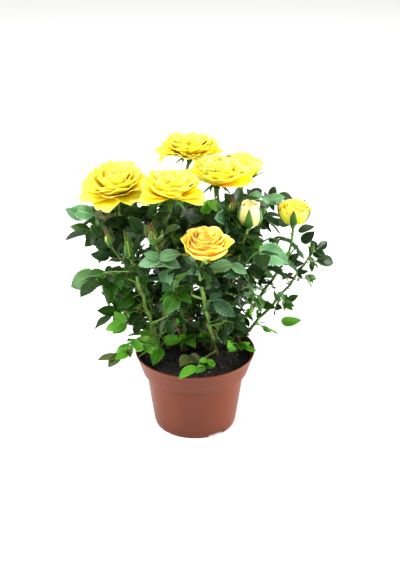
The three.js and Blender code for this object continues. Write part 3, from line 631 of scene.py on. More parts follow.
# leaves to a twig, the range of their stalks and of their length, how far they face about, and each
# leaflet's share of the stalk, turn to the side and share of the length
wispLooks = {"seed": 481, "leaves": 3, "stalk": (3, 8), "length": (8, 14), "unevenness": 0.5, "size": 0.4,
             "shares": (1, 0.7, 0.7), "turns": (0.0, 0.9, -0.9), "lengths": (1, 0.8, 0.8), "radius": 0.55,
             "girth": 0.75, "tints": ("green", "deep", "fresh")}


def growWisps():
    rng = np.random.default_rng(wispLooks["seed"])
    shares, turns, lengths = (np.array(wispLooks[key]) for key in ("shares", "turns", "lengths"))
    for i, wisp in enumerate(wisps):
        curve = np.array(wisp, float)
        tint = wispLooks["tints"][i % len(wispLooks["tints"])]
        for k in range(wispLooks["leaves"]):
            at = (k + 1) / wispLooks["leaves"]
            root, heading = curveAt(curve, at), headingAt(curve, at)
            side = unit(np.cross(heading, up)) * (-1) ** k
            out = unit(heading * 0.6 + side * rng.uniform(0.4, 1.1) + up * rng.uniform(-0.3, 0.7))
            joint = root + out * rng.uniform(*wispLooks["stalk"])
            facing = front + rng.normal(0, wispLooks["unevenness"], 3)
            facing = unit(facing - out * (facing @ out))
            along = turned(np.tile(out, (3, 1)), np.tile(facing, (3, 1)), turns)
            length = rng.uniform(*wispLooks["length"]) * lengths
            grown.append(dict(
                tint=tint, root=root, joint=joint, top=facing, size=wispLooks["size"], shares=shares,
                base=mix(root, joint, shares[:, None]), along=along, facing=np.tile(facing, (3, 1)),
                length=length, source="wisps", young=False))


growWisps()
markRoom(grown)

# Finer growth: leaves straight from the canes and more on the shoots, wherever there is still room.
# They stay inside an egg round the heart of the bush and left of an edge that leans outwards: its
# place, the level it leans from and how much.
finer = {"onShoots": 6, "onCanes": 22, "onStalks": 9, "size": (0.4, 0.78), "bloomShare": 0.85, "limbGap": 0.4,
         "tries": 16, "shrink": 0.015, "seed": 500, "stalkSeed": 530, "shootSeed": 550, "lowest": 0.1,
         "heart": (-14, 4, 172), "reach": (84, 90, 90), "edge": (44, 120, 0.42)}


def growFiner(curve, count, seed, source, lowest, young=False):
    draw = stream(seed)
    firstTurn = 2 * math.pi * next(draw)
    edge, level, lean = finer["edge"]
    left, right, near, low, high = sight["hollow"]
    for k in range(count):
        along = mix(lowest, 1, (k + 0.2 + 0.6 * next(draw)) / count)
        size = mix(*finer["size"], next(draw))
        leaf = triesFrom(curve, along, size, draw, firstTurn, k, finer["tries"], finer["shrink"])
        leaflets = leafletsOf(leaf, leafletPlan)
        covered = bladesOf(leaflets)
        p = covered.reshape(-1, 3)
        x, y, z = p.T
        within = (((leaf["joint"] - finer["heart"]) / finer["reach"]) ** 2).sum(1) < 1
        free = aboveGround(p) & clearOfBlooms(p, finer["bloomShare"]) & ~room[cellsOf(p)] & clearOfSight(p)
        free &= x < edge + np.maximum(0, z - level) * lean
        free &= z + y * sight["fall"] < sight["crown"]
        free &= ~((x > left) & (x < right) & (y < near) & (z > low) & (z < high))
        free = free.reshape(covered.shape[:3]).all(2)
        rims = outlineOf(leaflets)
        free &= clearOfLimbs(rims.reshape(-1, 3), finer["limbGap"]).reshape(rims.shape[:3]).all(2)
        fits = free & within[:, None]
        fits[:, 1:] &= fits[:, :1]
        best = int(np.argmax(fits.sum(1)))
        if fits[best].sum() < fewestLeaflets:
            continue
        keepLeaf(leaf, leaflets, best, fits[best], source, young)
        markRoom(grown[-1:])


for i, name in enumerate(canes):
    growFiner(caneCurves[name], finer["onCanes"], finer["seed"] + i, name, finer["lowest"])
for i, (name, bloom) in enumerate(blooms.items()):
    growFiner(bloom["curve"], finer["onStalks"], finer["stalkSeed"] + i, name, 0.0)
for i, name in enumerate(shoots):
    growFiner(shootCurves[name], finer["onShoots"], finer["shootSeed"] + i, name, finer["lowest"],
              name in youngShoots)
print(f"leaves with the finer growth: {len(grown)}, leaflets {sum(len(g['shares']) for g in grown)}")


# Meshes from arrays

# Faces of one item, with repeated corners taken out, as arrays grouped by their number of corners
def grouped(faces):
    groups = {}
    for corners, material in faces:
        kept = [c for i, c in enumerate(corners) if c != corners[i - 1]]
        if len(kept) > 2:
            groups.setdefault(len(kept), []).append((kept, material))
    return [(np.array([f for f, _ in g]), np.array([m for _, m in g])) for g in groups.values()]


# The same faces for many items, each with its own run of points
def repeated(groups, count, stride):
    steps = stride * np.arange(count)[:, None, None]
    return [((f + steps).reshape(-1, f.shape[1]), np.tile(m, count)) for f, m in groups]


def cellFaces(grid, material=0, flip=False):
    cells = np.stack([grid[:-1, :-1], grid[:-1, 1:], grid[1:, 1:], grid[1:, :-1]], -1).reshape(-1, 4)
    return [(list(c[::-1] if flip else c), material) for c in cells.tolist()]


# The numbers of a turned surface's points, closed round and drawn to a point at both ends
def ringGrid(rows, columns):
    grid = np.arange(rows * columns).reshape(rows, columns)
    grid = np.concatenate([grid, grid[:, :1]], 1)
    grid[0], grid[-1] = grid[0, 0], grid[-1, 0]
    return grid


# Puts parts into one mesh. A part is points in mm, face groups, and where it needs them
# coordinates along and across the surface, and the points of a rim that stays crisp.
def makePiece(name, parts, materials, stands=()):
    points, faces, kinds, uvs, rims, offset = [], {}, {}, [], [], 0
    for part in parts:
        n = len(part["points"])
        points.append(part["points"])
        uvs.append(part.get("uv", np.zeros((n, 2))))
        rims.append(part.get("rim", np.zeros(n, bool)))
        for f, m in part["faces"]:
            faces.setdefault(f.shape[1], []).append(f + offset)
            kinds.setdefault(f.shape[1], []).append(m)
        offset += n
    points, uvs, rims = map(np.concatenate, (points, uvs, rims))
    corners, starts, total, kind = [], [], 0, []
    for k in faces:
        f = np.concatenate(faces[k])
        corners.append(f.ravel())
        starts.append(total + k * np.arange(len(f)))
        kind.append(np.concatenate(kinds[k]))
        total += f.size
    corners, starts, kind = map(np.concatenate, (corners, starts, kind))
    mesh = bpy.data.meshes.new(name)
    mesh.vertices.add(len(points))
    mesh.vertices.foreach_set("co", (points * mm).astype(np.float32).ravel())
    mesh.loops.add(len(corners))
    mesh.loops.foreach_set("vertex_index", corners.astype(np.int32))
    mesh.polygons.add(len(starts))
    mesh.polygons.foreach_set("loop_start", starts.astype(np.int32))
    mesh.update(calc_edges=True)
    mesh.polygons.foreach_set("material_index", kind.astype(np.int32))
    mesh.polygons.foreach_set("use_smooth", np.ones(len(starts), bool))
    mesh.uv_layers.new(name="surface").data.foreach_set("uv", uvs[corners].astype(np.float32).ravel())
    if rims.any():
        ends = np.zeros(len(mesh.edges) * 2, np.int32)
        mesh.edges.foreach_get("vertices", ends)
        crisp = rims[ends].reshape(-1, 2).all(1)
        mesh.attributes.new("sharp_edge", "BOOLEAN", "EDGE").data.foreach_set("value", crisp)
    for material in materials:
        mesh.materials.append(material)
    piece = bpy.data.objects.new(name, mesh)
    bpy.context.scene.collection.objects.link(piece)
    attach(piece, "root")
    if stands:
        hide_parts(*stands)
    return piece


# Round stems along paths (items, steps, 3) with radii (items, steps): each ring stands across its
# path, and both ends close in a point. relief(t, angle) gives a factor on the radius.
def tubes(paths, radii, sides, material=0, relief=None):
    count, steps = paths.shape[:2]
    radii = np.broadcast_to(radii, (count, steps)).copy()
    heading = unit(np.gradient(paths, axis=1))
    axis = np.eye(3)[np.argmin(np.abs(heading.mean(1)), axis=1)][:, None]
    side = unit(np.cross(heading, axis))
    other = np.cross(side, heading)
    paths = np.concatenate([paths[:, :1], paths, paths[:, -1:]], 1)
    side, other = (np.concatenate([v[:, :1], v, v[:, -1:]], 1) for v in (side, other))
    radii = np.concatenate([np.zeros((count, 1)), radii, np.zeros((count, 1))], 1)
    angle = 2 * np.pi * np.arange(sides) / sides
    t = np.linspace(0, 1, steps + 2)[:, None]
    factor = relief(t, angle[None]) if relief else 1
    ring = radii[..., None] * factor
    points = (paths[:, :, None] + side[:, :, None] * (ring * np.cos(angle))[..., None]
              + other[:, :, None] * (ring * np.sin(angle))[..., None])
    groups = repeated(grouped(cellFaces(ringGrid(steps + 2, sides), material)), count, (steps + 2) * sides)
    return tidy(points.reshape(-1, 3), groups)


# Drops points that no face uses
def tidy(points, groups, uv=None, rim=None):
    used = np.zeros(len(points), bool)
    for f, _ in groups:
        used[f] = True
    number = np.cumsum(used) - 1
    part = dict(points=points[used], faces=[(number[f], m) for f, m in groups])
    if uv is not None:
        part["uv"] = uv[used]
    if rim is not None:
        part["rim"] = rim[used]
    return part


# Materials

# an sRGB hex colour as linear light
def colour(text):
    c = np.array([int(text[i:i + 2], 16) for i in (1, 3, 5)]) / 255
    return (*np.where(c <= 0.04045, c / 12.92, ((c + 0.055) / 1.055) ** 2.4).tolist(), 1.0)


# Adds a node, sets what it is told to and links what is a socket
def addNode(tree, kind, inputs={}, **settings):
    made = tree.nodes.new("ShaderNode" + kind)
    for name, value in settings.items():
        setattr(made, name, value)
    for name, value in inputs.items():
        if isinstance(value, bpy.types.NodeSocket):
            tree.links.new(value, made.inputs[name])
        else:
            made.inputs[name].default_value = value
    return made


def newMaterial(name):
    made = bpy.data.materials.new(name)
    made.use_nodes = True
    return made, made.node_tree, made.node_tree.nodes["Principled BSDF"]


# noise whose lumps are about as wide as lump, in metres
def noise(tree, place, lump, detail=2.0, rough=0.5):
    inputs = {"Vector": place, "Scale": 1 / lump, "Detail": detail, "Roughness": rough}
    return addNode(tree, "TexNoise", inputs).outputs[0]


def reckon(tree, operation, *terms):
    return addNode(tree, "Math", dict(enumerate(terms)), operation=operation).outputs[0]


def rescale(tree, value, low, high, toLow=0.0, toHigh=1.0):
    inputs = {"Value": value, "From Min": low, "From Max": high, "To Min": toLow, "To Max": toHigh}
    return addNode(tree, "MapRange", inputs).outputs[0]


def blend(tree, share, first, second):
    return addNode(tree, "Mix", {0: share, 6: first, 7: second}, data_type="RGBA").outputs[2]


# a share from 0 to 1 as a colour between stops, each with its place and its colour
def ramp(tree, share, *stops):
    made = addNode(tree, "ValToRGB", {0: share})
    elements = made.color_ramp.elements
    for _ in stops[2:]:
        elements.new(0.5)
    for element, (at, tone) in zip(elements, stops):
        element.position, element.color = at, colour(tone)
    return made.outputs[0]


# What every skin ends with: its colour, its relief with a strength and a depth in metres, and the
# shader's own values
def finishSkin(tree, shader, tone, relief, strength, depth, values):
    bump = addNode(tree, "Bump", {"Height": relief, "Strength": strength, "Distance": depth})
    tree.links.new(tone, shader.inputs["Base Color"])
    tree.links.new(bump.outputs[0], shader.inputs["Normal"])
    for name, value in values.items():
        shader.inputs[name].default_value = value


# the pot's colours, and in metres how high the painted shade at its foot goes and how wide its
# clouds and its grain are
plastic = {"foot": "#471905", "wall": "#562307", "cloud": "#62290f", "footHeight": 0.03, "cloudWidth": 0.03,
           "grain": 0.0012, "rings": (4.0, 4.0, 800.0)}


# Polypropylene moulded in a turned steel mould: a soft even gloss, faint rings left by the mould's
# turning, and faint clouding in the pigment; painted shade makes it darker and redder to the foot
def mouldedPlastic():
    made, tree, shader = newMaterial("mouldedPolypropylene")
    place = addNode(tree, "TexCoord").outputs["Object"]
    height = addNode(tree, "SeparateXYZ", {0: place}).outputs["Z"]
    # painted shade: the plastic is coloured darker and redder towards the pot's foot
    footShade = rescale(tree, height, 0.0, plastic["footHeight"])
    body = blend(tree, footShade, colour(plastic["foot"]), colour(plastic["wall"]))
    shade = blend(tree, noise(tree, place, plastic["cloudWidth"], 3.0), body, colour(plastic["cloud"]))
    flat = addNode(tree, "Mapping", {"Vector": place, "Scale": plastic["rings"]}).outputs[0]
    relief = reckon(tree, "ADD", noise(tree, place, plastic["grain"]), noise(tree, flat, 1))
    finishSkin(tree, shader, shade, relief, 0.3, 0.0002,
               {"Specular IOR Level": 0.22, "Roughness": 0.38, "IOR": 1.49})
    return made


# Peat is almost black when it is damp, and each crumb is matt
def peat(name, dark, light, grain):
    made, tree, shader = newMaterial(name)
    lumps = noise(tree, addNode(tree, "TexCoord").outputs["Object"], grain, 6.0, 0.7)
    tone = ramp(tree, lumps, (0.42, dark), (0.72, light))
    finishSkin(tree, shader, tone, lumps, 0.8, 0.001, {"Roughness": 0.9})
    return made


# the width of bark's patches and pores in metres, and the heights between which it turns from old to
# young
barkSkin = {"patch": 0.012, "pore": 0.0008, "oldBelow": 0.08, "youngAbove": 0.125}


# Young rose bark: smooth waxy green, flushed in patches, and older in colour at the foot
def youngBark(name, base, flush, roughness=0.42, foot=None):
    made, tree, shader = newMaterial(name)
    place = addNode(tree, "TexCoord").outputs["Object"]
    green = ramp(tree, noise(tree, place, barkSkin["patch"], 3.0), (0.45, base), (0.75, flush))
    height = addNode(tree, "SeparateXYZ", {0: place}).outputs["Z"]
    age = rescale(tree, height, barkSkin["oldBelow"], barkSkin["youngAbove"])
    skin = blend(tree, age, colour(foot or base), green)
    finishSkin(tree, shader, skin, noise(tree, place, barkSkin["pore"]), 0.15, 0.0003,
               {"Roughness": roughness, "IOR": 1.45})
    return made


# side veins to a leaflet, their slant and width, the midrib's soft edge, how strong and how wide their
# paler colour is, and the size and share of pale patches
leafVeins = {"count": 9.0, "slant": -0.55, "rib": 0.12, "ribShare": 0.45, "midrib": (0.012, 0.05),
             "strength": 0.65, "patch": 0.009, "patchShare": 0.35}


# A rose leaf's waxy upper side: veins run from the midrib forward to the edge, 2 to 3 mm apart.
# The surface coordinates are across, with the midrib at a half, and along.
def leafSkin(name, base, light, roughness):
    made, tree, shader = newMaterial(name)
    place = addNode(tree, "TexCoord").outputs
    split = addNode(tree, "SeparateXYZ", {0: place["UV"]}).outputs
    away = reckon(tree, "ABSOLUTE", reckon(tree, "SUBTRACT", split[0], 0.5))
    slant = reckon(tree, "MULTIPLY_ADD", away, leafVeins["slant"], split[1])
    saw = reckon(tree, "PINGPONG", reckon(tree, "MULTIPLY", slant, leafVeins["count"]), 0.5)
    rib = rescale(tree, saw, 0.0, leafVeins["rib"], 1.0, 0.0)
    midrib = rescale(tree, away, *leafVeins["midrib"], 1.0, 0.0)
    vein = reckon(tree, "MAXIMUM", reckon(tree, "MULTIPLY", rib, leafVeins["ribShare"]), midrib)
    patch = noise(tree, place["Object"], leafVeins["patch"], 3.0)
    drift = rescale(tree, patch, 0.35, 0.7, 0.0, leafVeins["patchShare"])
    surface = blend(tree, drift, colour(base), colour(light))
    lit = reckon(tree, "MULTIPLY", vein, leafVeins["strength"])
    finishSkin(tree, shader, blend(tree, lit, surface, colour(light)), reckon(tree, "MULTIPLY", vein, -1.0),
               0.35, 0.0005, {"Roughness": roughness, "IOR": 1.45, "Specular IOR Level": 0.22})
    return made


# A petal is thin and velvety, deep gold at its foot and paler to the rim, with fine veins along it
def petalSkin(name, foot, body, rim, reach=(0.25, 0.62, 0.98), through=0.7):
    made, tree, shader = newMaterial(name)
    place = addNode(tree, "TexCoord").outputs
    split = addNode(tree, "SeparateXYZ", {0: place["UV"]}).outputs
    drift = reckon(tree, "MULTIPLY_ADD", noise(tree, place["Object"], 0.008), 0.22, -0.11)
    along = reckon(tree, "ADD", split[1], drift)
    tone = ramp(tree, along, *zip(reach, (foot, body, rim)))
    streak = addNode(tree, "CombineXYZ", {0: split[0], 1: along}).outputs[0]
    veins = addNode(tree, "Mapping", {"Vector": streak, "Scale": (26.0, 2.0, 1.0)}).outputs[0]
    finishSkin(tree, shader, tone, noise(tree, veins, 1), 0.25, 0.0006, {
        "Roughness": 0.6, "IOR": 1.4, "Specular IOR Level": 0.3, "Subsurface Weight": through,
        "Subsurface Radius": (1.0, 0.5, 0.06), "Subsurface Scale": 0.0028,
    })
    return made


potMaterial = mouldedPlastic()
peatMaterial = peat("dampPeat", "#080706", "#241c16", 0.002)
crumbMaterial = peat("peatCrumbs", "#100c09", "#33271c", 0.0015)
perliteMaterial = peat("perlite", "#8d8876", "#cfc9b4", 0.001)
barkFresh = youngBark("freshRoseBark", "#4c7424", "#80a248", foot="#4c5626")
barkDeep = youngBark("deepRoseBark", "#456824", "#6c8c3c", foot="#33331a")
prickleMaterial = youngBark("rosePrickle", "#7a4a2c", "#a06a3c", 0.5)
stalkGreen = youngBark("leafStalk", "#6f9a38", "#9ab85a")
stalkRed = youngBark("reddishLeafStalk", "#7d5a3a", "#96543a")
budPetal = petalSkin("budPetal", "#b8ac4c", "#d4c860", "#e6dc8c", (0.0, 0.6, 1.0), 0.0)
sepalGreen = petalSkin("sepal", "#2a5a14", "#3c6e22", "#5c4a26", (0.1, 0.7, 1.0), 0.0)
sepalRed = petalSkin("reddishSepal", "#3a6a1e", "#50622a", "#742c1c", (0.15, 0.6, 0.95), 0.0)

# name: upper side, its veins, underside, roughness
leafColours = {
    "deep": ("#091f03", "#2a5018", "#33561e", 0.36),
    "green": ("#173f03", "#43761e", "#527e32", 0.38),
    "blue": ("#173a18", "#4c7a4c", "#5c845c", 0.34),
    "fresh": ("#3b8010", "#70aa36", "#70a03c", 0.42),
    "pale": ("#4a7c4a", "#8fb68a", "#92b48c", 0.36),
    "olive": ("#39471a", "#68763c", "#6c7844", 0.42),
    "bronze": ("#302a14", "#57502a", "#5a5634", 0.42),
}
leafMaterials = {
    name: [leafSkin(f"{name}RoseLeaf", top, veins, rough),
           leafSkin(f"{name}RoseLeafUnderside", under, veins, 0.6)]
    for name, (top, veins, under, rough) in leafColours.items()
}

petalMaterials = {
    "lemon": petalSkin("lemonPetal", "#ffc410", "#ffdf28", "#fff16a", through=0.8),
    "gold": petalSkin("goldenPetal", "#f59a3c", "#f8bc3c", "#fcd866"),
    "cream": petalSkin("creamPetal", "#f7c464", "#fbdc84", "#fff0b4"),
}
print("materials made")


# Camera, light and floor, in metres

view = {"elevation": 25.5, "distance": 1.2, "target": (0.005, 0, 0.1514), "lens": 77.4, "sensor": 36}


def makeCamera():
    camera = bpy.data.cameras.new("camera")
    camera.lens, camera.sensor_width = view["lens"], view["sensor"]
    holder = bpy.data.objects.new("camera", camera)
    tilt = math.radians(view["elevation"])
    back = Vector((0, -math.cos(tilt), math.sin(tilt)))
    holder.location = Vector(view["target"]) + back * view["distance"]
    holder.rotation_euler = (-back).to_track_quat("-Z", "Y").to_euler()
    bpy.context.scene.collection.objects.link(holder)
    bpy.context.scene.camera = holder


# where each soft box stands, its width and its power in watts; all are turned to the aim
studio = {
    "boxes": {
        "keyLight": ((-0.55, -0.45, 1.65), 0.9, 33),
        "rightLight": ((1.5, -0.1, 0.45), 1.0, 62),
        "leftLight": ((-1.5, -0.2, 0.5), 1.0, 38),
    },
    "aim": (0, 0, 0.16), "surround": ("#8c8c8c", "#ffffff"), "surroundFrom": (-0.75, 0.1),
    "surroundStrength": 0.8, "floor": ("#f8f8f7", "#fbfbfa"), "floorHalf": 30.0,
}


def makeLights():
    for name, (place, width, power) in studio["boxes"].items():
        light = bpy.data.lights.new(name, "AREA")
        light.size, light.energy = width, power
        lamp = bpy.data.objects.new(name, light)
        lamp.location = place
        toAim = Vector(studio["aim"]) - Vector(place)
        lamp.rotation_euler = toAim.to_track_quat("-Z", "Y").to_euler()
        bpy.context.scene.collection.objects.link(lamp)


def makeSurround():
    world = bpy.data.worlds.new("studio")
    world.use_nodes = True
    tree = world.node_tree
    split = addNode(tree, "SeparateXYZ", {0: addNode(tree, "TexCoord").outputs["Generated"]})
    behind = rescale(tree, split.outputs[1], *studio["surroundFrom"])
    around = blend(tree, behind, *map(colour, studio["surround"]))
    tree.links.new(around, tree.nodes["Background"].inputs["Color"])
    tree.nodes["Background"].inputs["Strength"].default_value = studio["surroundStrength"]
    bpy.context.scene.world = world
    bpy.context.scene.view_settings.view_transform = "Standard"


def makeFloor():
    half = studio["floorHalf"]
    mesh = bpy.data.meshes.new("floor")
    corners = [(-half, -half, 0), (half, -half, 0), (half, half, 0), (-half, half, 0)]
    mesh.from_pydata(corners, [], [(0, 1, 2, 3)])
    floor = bpy.data.objects.new("floor", mesh)
    made, tree, shader = newMaterial("paleFloor")
    haze = noise(tree, addNode(tree, "TexCoord").outputs["Object"], 0.5)
    tree.links.new(blend(tree, haze, *map(colour, studio["floor"])), shader.inputs["Base Color"])
    shader.inputs["Roughness"].default_value = 0.9
    mesh.materials.append(made)
    bpy.context.scene.collection.objects.link(floor)
    floor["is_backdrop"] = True


makeCamera()
makeLights()
makeSurround()
makeFloor()
print("camera, light and floor made")


# the pot's mesh, the grooves round its collar, its lip, and the drill for its drain holes
potLooks = {"columns": 224, "grooves": 6, "groovePitch": 2.9, "grooveTop": 78.2, "grooveDepth": 0.3,
            "lip": 0.4, "lipHeight": 1.6, "drill": (-4.0, 0.0, 4.0, 9.0), "drillSides": 24}


# Turned round +Z, so each point (r, z) of the section gives P = (r cos a, r sin a, z). The section runs
# out under the foot, up the wall and the grooved collar, over the lip and down inside. Where the foot
# is notched its lowest points are lifted.
def makePot():
    p, t, lip = pot, pot["wall"], potLooks["lip"]
    slope = (p["wallRadius"] - p["footRadius"] - p["flare"]) / (p["collarFoot"] - 4)
    wallAt = lambda z: p["footRadius"] + p["flare"] + slope * (z - 4)
    c, f = p["collarFoot"], p["footRadius"]
    ring, rim = f - p["ringWidth"], p["rimRadius"]
    z = np.linspace(4, c - 0.6, 24)
    wall = np.stack([wallAt(z), z], 1)
    floor = p["footLift"] + t
    top = p["height"] - potLooks["lipHeight"]
    collarFoot = np.array([p["collarRadius"], c + p["step"]])
    collarTop = np.array([rim - lip, top])
    collarOut = mix(collarFoot, collarTop, np.linspace(0, 1, 61)[:, None])
    phase = (potLooks["grooveTop"] - collarOut[:, 1]) / potLooks["groovePitch"]
    grooved = (phase > 0) & (phase < potLooks["grooves"])
    collarOut[:, 0] -= np.where(grooved, np.sin(np.pi * (phase % 1)) ** 4, 0) * potLooks["grooveDepth"]
    section = np.concatenate([
        [(0, 0), (p["padRadius"], 0), (p["padRadius"] + 2, p["footLift"]), (ring - 0.5, p["footLift"]),
         (ring, 0.3), (ring + 0.3, 0), (f - 0.4, 0), (f, 0.35), (f + 0.5, 1.6)],
        wall,
        [(wallAt(c - 0.3), c - 0.3), (wallAt(c) + 0.25, c), (p["collarRadius"] - 0.9, c + p["step"] * 0.62)],
        collarOut,
        [(rim - 0.15, top + 0.4), (rim, top + 0.8), (rim, p["height"] - 0.35), (rim - 0.35, p["height"]),
         (rim - t + 0.3, p["height"]), (rim - t, p["height"] - 0.4)],
        collarOut[::-20] - [t + 0.05, -0.5],
        [(p["wallRadius"] - t, c + 0.9), (f + p["flare"] - t, floor), (p["padRadius"] + 1, floor),
         (p["padRadius"] - 1, t), (0, t)],
    ])
    half = math.asin(p["notchWidth"] / 2 / f)
    middles = np.radians(p["firstNotch"] - 90) + 2 * np.pi * np.arange(p["notches"]) / p["notches"]
    edges = np.concatenate([middles + s * half + d for s in (-1, 1) for d in (-0.002, 0.002)]) % (2 * np.pi)
    even = 2 * np.pi * np.arange(potLooks["columns"]) / potLooks["columns"]
    angle = np.sort(np.concatenate([even, edges]))
    notched = (np.abs((angle[:, None] - middles + np.pi) % (2 * np.pi) - np.pi) < half).any(1)
    r, z = section[:, :1], np.repeat(section[:, 1:], len(angle), 1)
    z = np.where(notched & (r > f - 5), np.maximum(z, p["notchHeight"]), z)
    points = np.stack([r * np.cos(angle), r * np.sin(angle), z], -1)
    part = tidy(points.reshape(-1, 3), grouped(cellFaces(ringGrid(*z.shape))))
    piece = makePiece("plastic_pot", [part], [potMaterial], ["pot"])
    around = 2 * np.pi * np.arange(p["holes"]) / p["holes"]
    x, y = p["holeCircle"] * np.cos(around), p["holeCircle"] * np.sin(around)
    paths = np.stack([np.stack([x, y, np.full(len(x), h)], -1) for h in potLooks["drill"]], 1)
    bits = tubes(paths, p["holeRadius"], potLooks["drillSides"])
    drill = makePiece("drill", [bits], [potMaterial])
    cutter = piece.modifiers.new("drainHoles", "BOOLEAN")
    cutter.operation, cutter.solver, cutter.object = "DIFFERENCE", "EXACT", drill
    bored = bpy.data.meshes.new_from_object(piece.evaluated_get(bpy.context.evaluated_depsgraph_get()))
    piece.modifiers.clear()
    piece.data = bored
    bpy.data.objects.remove(drill)


makePot()
print("pot made")

# the filling's mesh, its section under the top, and its crumbs of peat and white grit: the least
# and the greatest size, and the power that makes small ones more common
soil = {"rings": 56, "columns": 150, "radius": 55.8, "crumbs": 900, "grit": 46, "seed": 31,
        "inset": 0.1, "section": (57.8, 55.0, 5.2), "footRadius": 39.4, "edge": 1.5,
        "crumbSizes": (0.5, 2.0, 2.5), "gritSizes": (0.4, 0.9, 2)}


# height of the filling's top: wide low mounds, lumps and grains, lower by the wall
def soilHeight(x, y):
    r = np.hypot(x, y) / soil["radius"]
    mounds, lumps = 2.6 * (softNoise(x, y, 19, 1) - 0.5), 2.0 * (softNoise(x, y, 5.5, 2) - 0.4)
    grains = 1.1 * (softNoise(x, y, 2.2, 3) - 0.5)
    return fillLevel - 0.6 + mounds + lumps + grains - 1.8 * r ** 10


# Small lumps: a twenty-sided solid, each with its corners pushed in and out and its own stretch
def crumbs(places, sizes, rng, material):
    g = (1 + 5 ** 0.5) / 2
    corner = unit(np.array([(-1, g, 0), (1, g, 0), (-1, -g, 0), (1, -g, 0), (0, -1, g), (0, 1, g),
                            (0, -1, -g), (0, 1, -g), (g, 0, -1), (g, 0, 1), (-g, 0, -1), (-g, 0, 1)]))
    sides = [(0, 11, 5), (0, 5, 1), (0, 1, 7), (0, 7, 10), (0, 10, 11), (1, 5, 9), (5, 11, 4),
             (11, 10, 2), (10, 7, 6), (7, 1, 8), (3, 9, 4), (3, 4, 2), (3, 2, 6), (3, 6, 8), (3, 8, 9),
             (4, 9, 5), (2, 4, 11), (6, 2, 10), (8, 6, 7), (9, 8, 1)]
    n = len(places)
    pushed = corner * rng.uniform(0.7, 1.25, (n, len(corner), 1))
    shape = pushed * rng.uniform([0.7, 0.6, 0.45], [1.7, 1, 0.9], (n, 3))[:, None]
    spin = rng.uniform(0, 2 * np.pi, (n, 1))
    c, s = np.cos(spin), np.sin(spin)
    x, y, z = np.moveaxis(shape, -1, 0)
    shape = np.stack([x * c - y * s, x * s + y * c, z], -1) * sizes[:, None, None]
    points = (places[:, None] + shape).reshape(-1, 3)
    groups = grouped([(list(f), material) for f in sides])
    return dict(points=points, faces=repeated(groups, n, len(corner)))


def makeCompost():
    rng = np.random.default_rng(soil["seed"])
    r = soil["radius"] * np.linspace(0, 1, soil["rings"]) ** 0.8
    angle = 2 * np.pi * np.arange(soil["columns"]) / soil["columns"]
    x, y = r[:, None] * np.cos(angle), r[:, None] * np.sin(angle)
    top = np.stack([x, y, soilHeight(x, y)], -1)
    t = pot["wall"] + clearance + soil["inset"]
    collar, wall, foot = soil["section"]
    sides = np.array([(pot["collarRadius"] - t, collar), (pot["wallRadius"] - t, wall),
                      (soil["footRadius"], foot), (0, foot)])
    under = np.stack([sides[:, :1] * np.cos(angle), sides[:, :1] * np.sin(angle),
                      np.repeat(sides[:, 1:], len(angle), 1)], -1)
    points = np.concatenate([top, under])
    body = tidy(points.reshape(-1, 3), grouped(cellFaces(ringGrid(*points.shape[:2]), flip=True)))

    # places spread evenly over the top
    def scatter(n, low, high, power):
        reach = (soil["radius"] - soil["edge"]) * np.sqrt(rng.random(n))
        around = rng.uniform(0, 2 * np.pi, n)
        size = mix(low, high, rng.random(n) ** power)
        x, y = reach * np.cos(around), reach * np.sin(around)
        return np.stack([x, y, soilHeight(x, y) + size * 0.2], -1), size

    parts = [body, crumbs(*scatter(soil["crumbs"], *soil["crumbSizes"]), rng, 1)]
    parts.append(crumbs(*scatter(soil["grit"], *soil["gritSizes"]), rng, 2))
    makePiece("peat_compost", parts, [peatMaterial, crumbMaterial, perliteMaterial], ["compost"])


makeCompost()
print("compost made")

# a cane's mesh, how far apart its nodes are and how much they swell and kink, and its prickles
bark = {"rows": 84, "sides": 14, "nodeEvery": 17.0, "swelling": 0.26, "nodeWidth": 0.011, "kink": 1.1,
        "prickles": 11, "prickleSides": 6, "seed": 70}
deepBarkOn = ("right", "far_right", "back", "back_left", "rear_right", "mid_right")


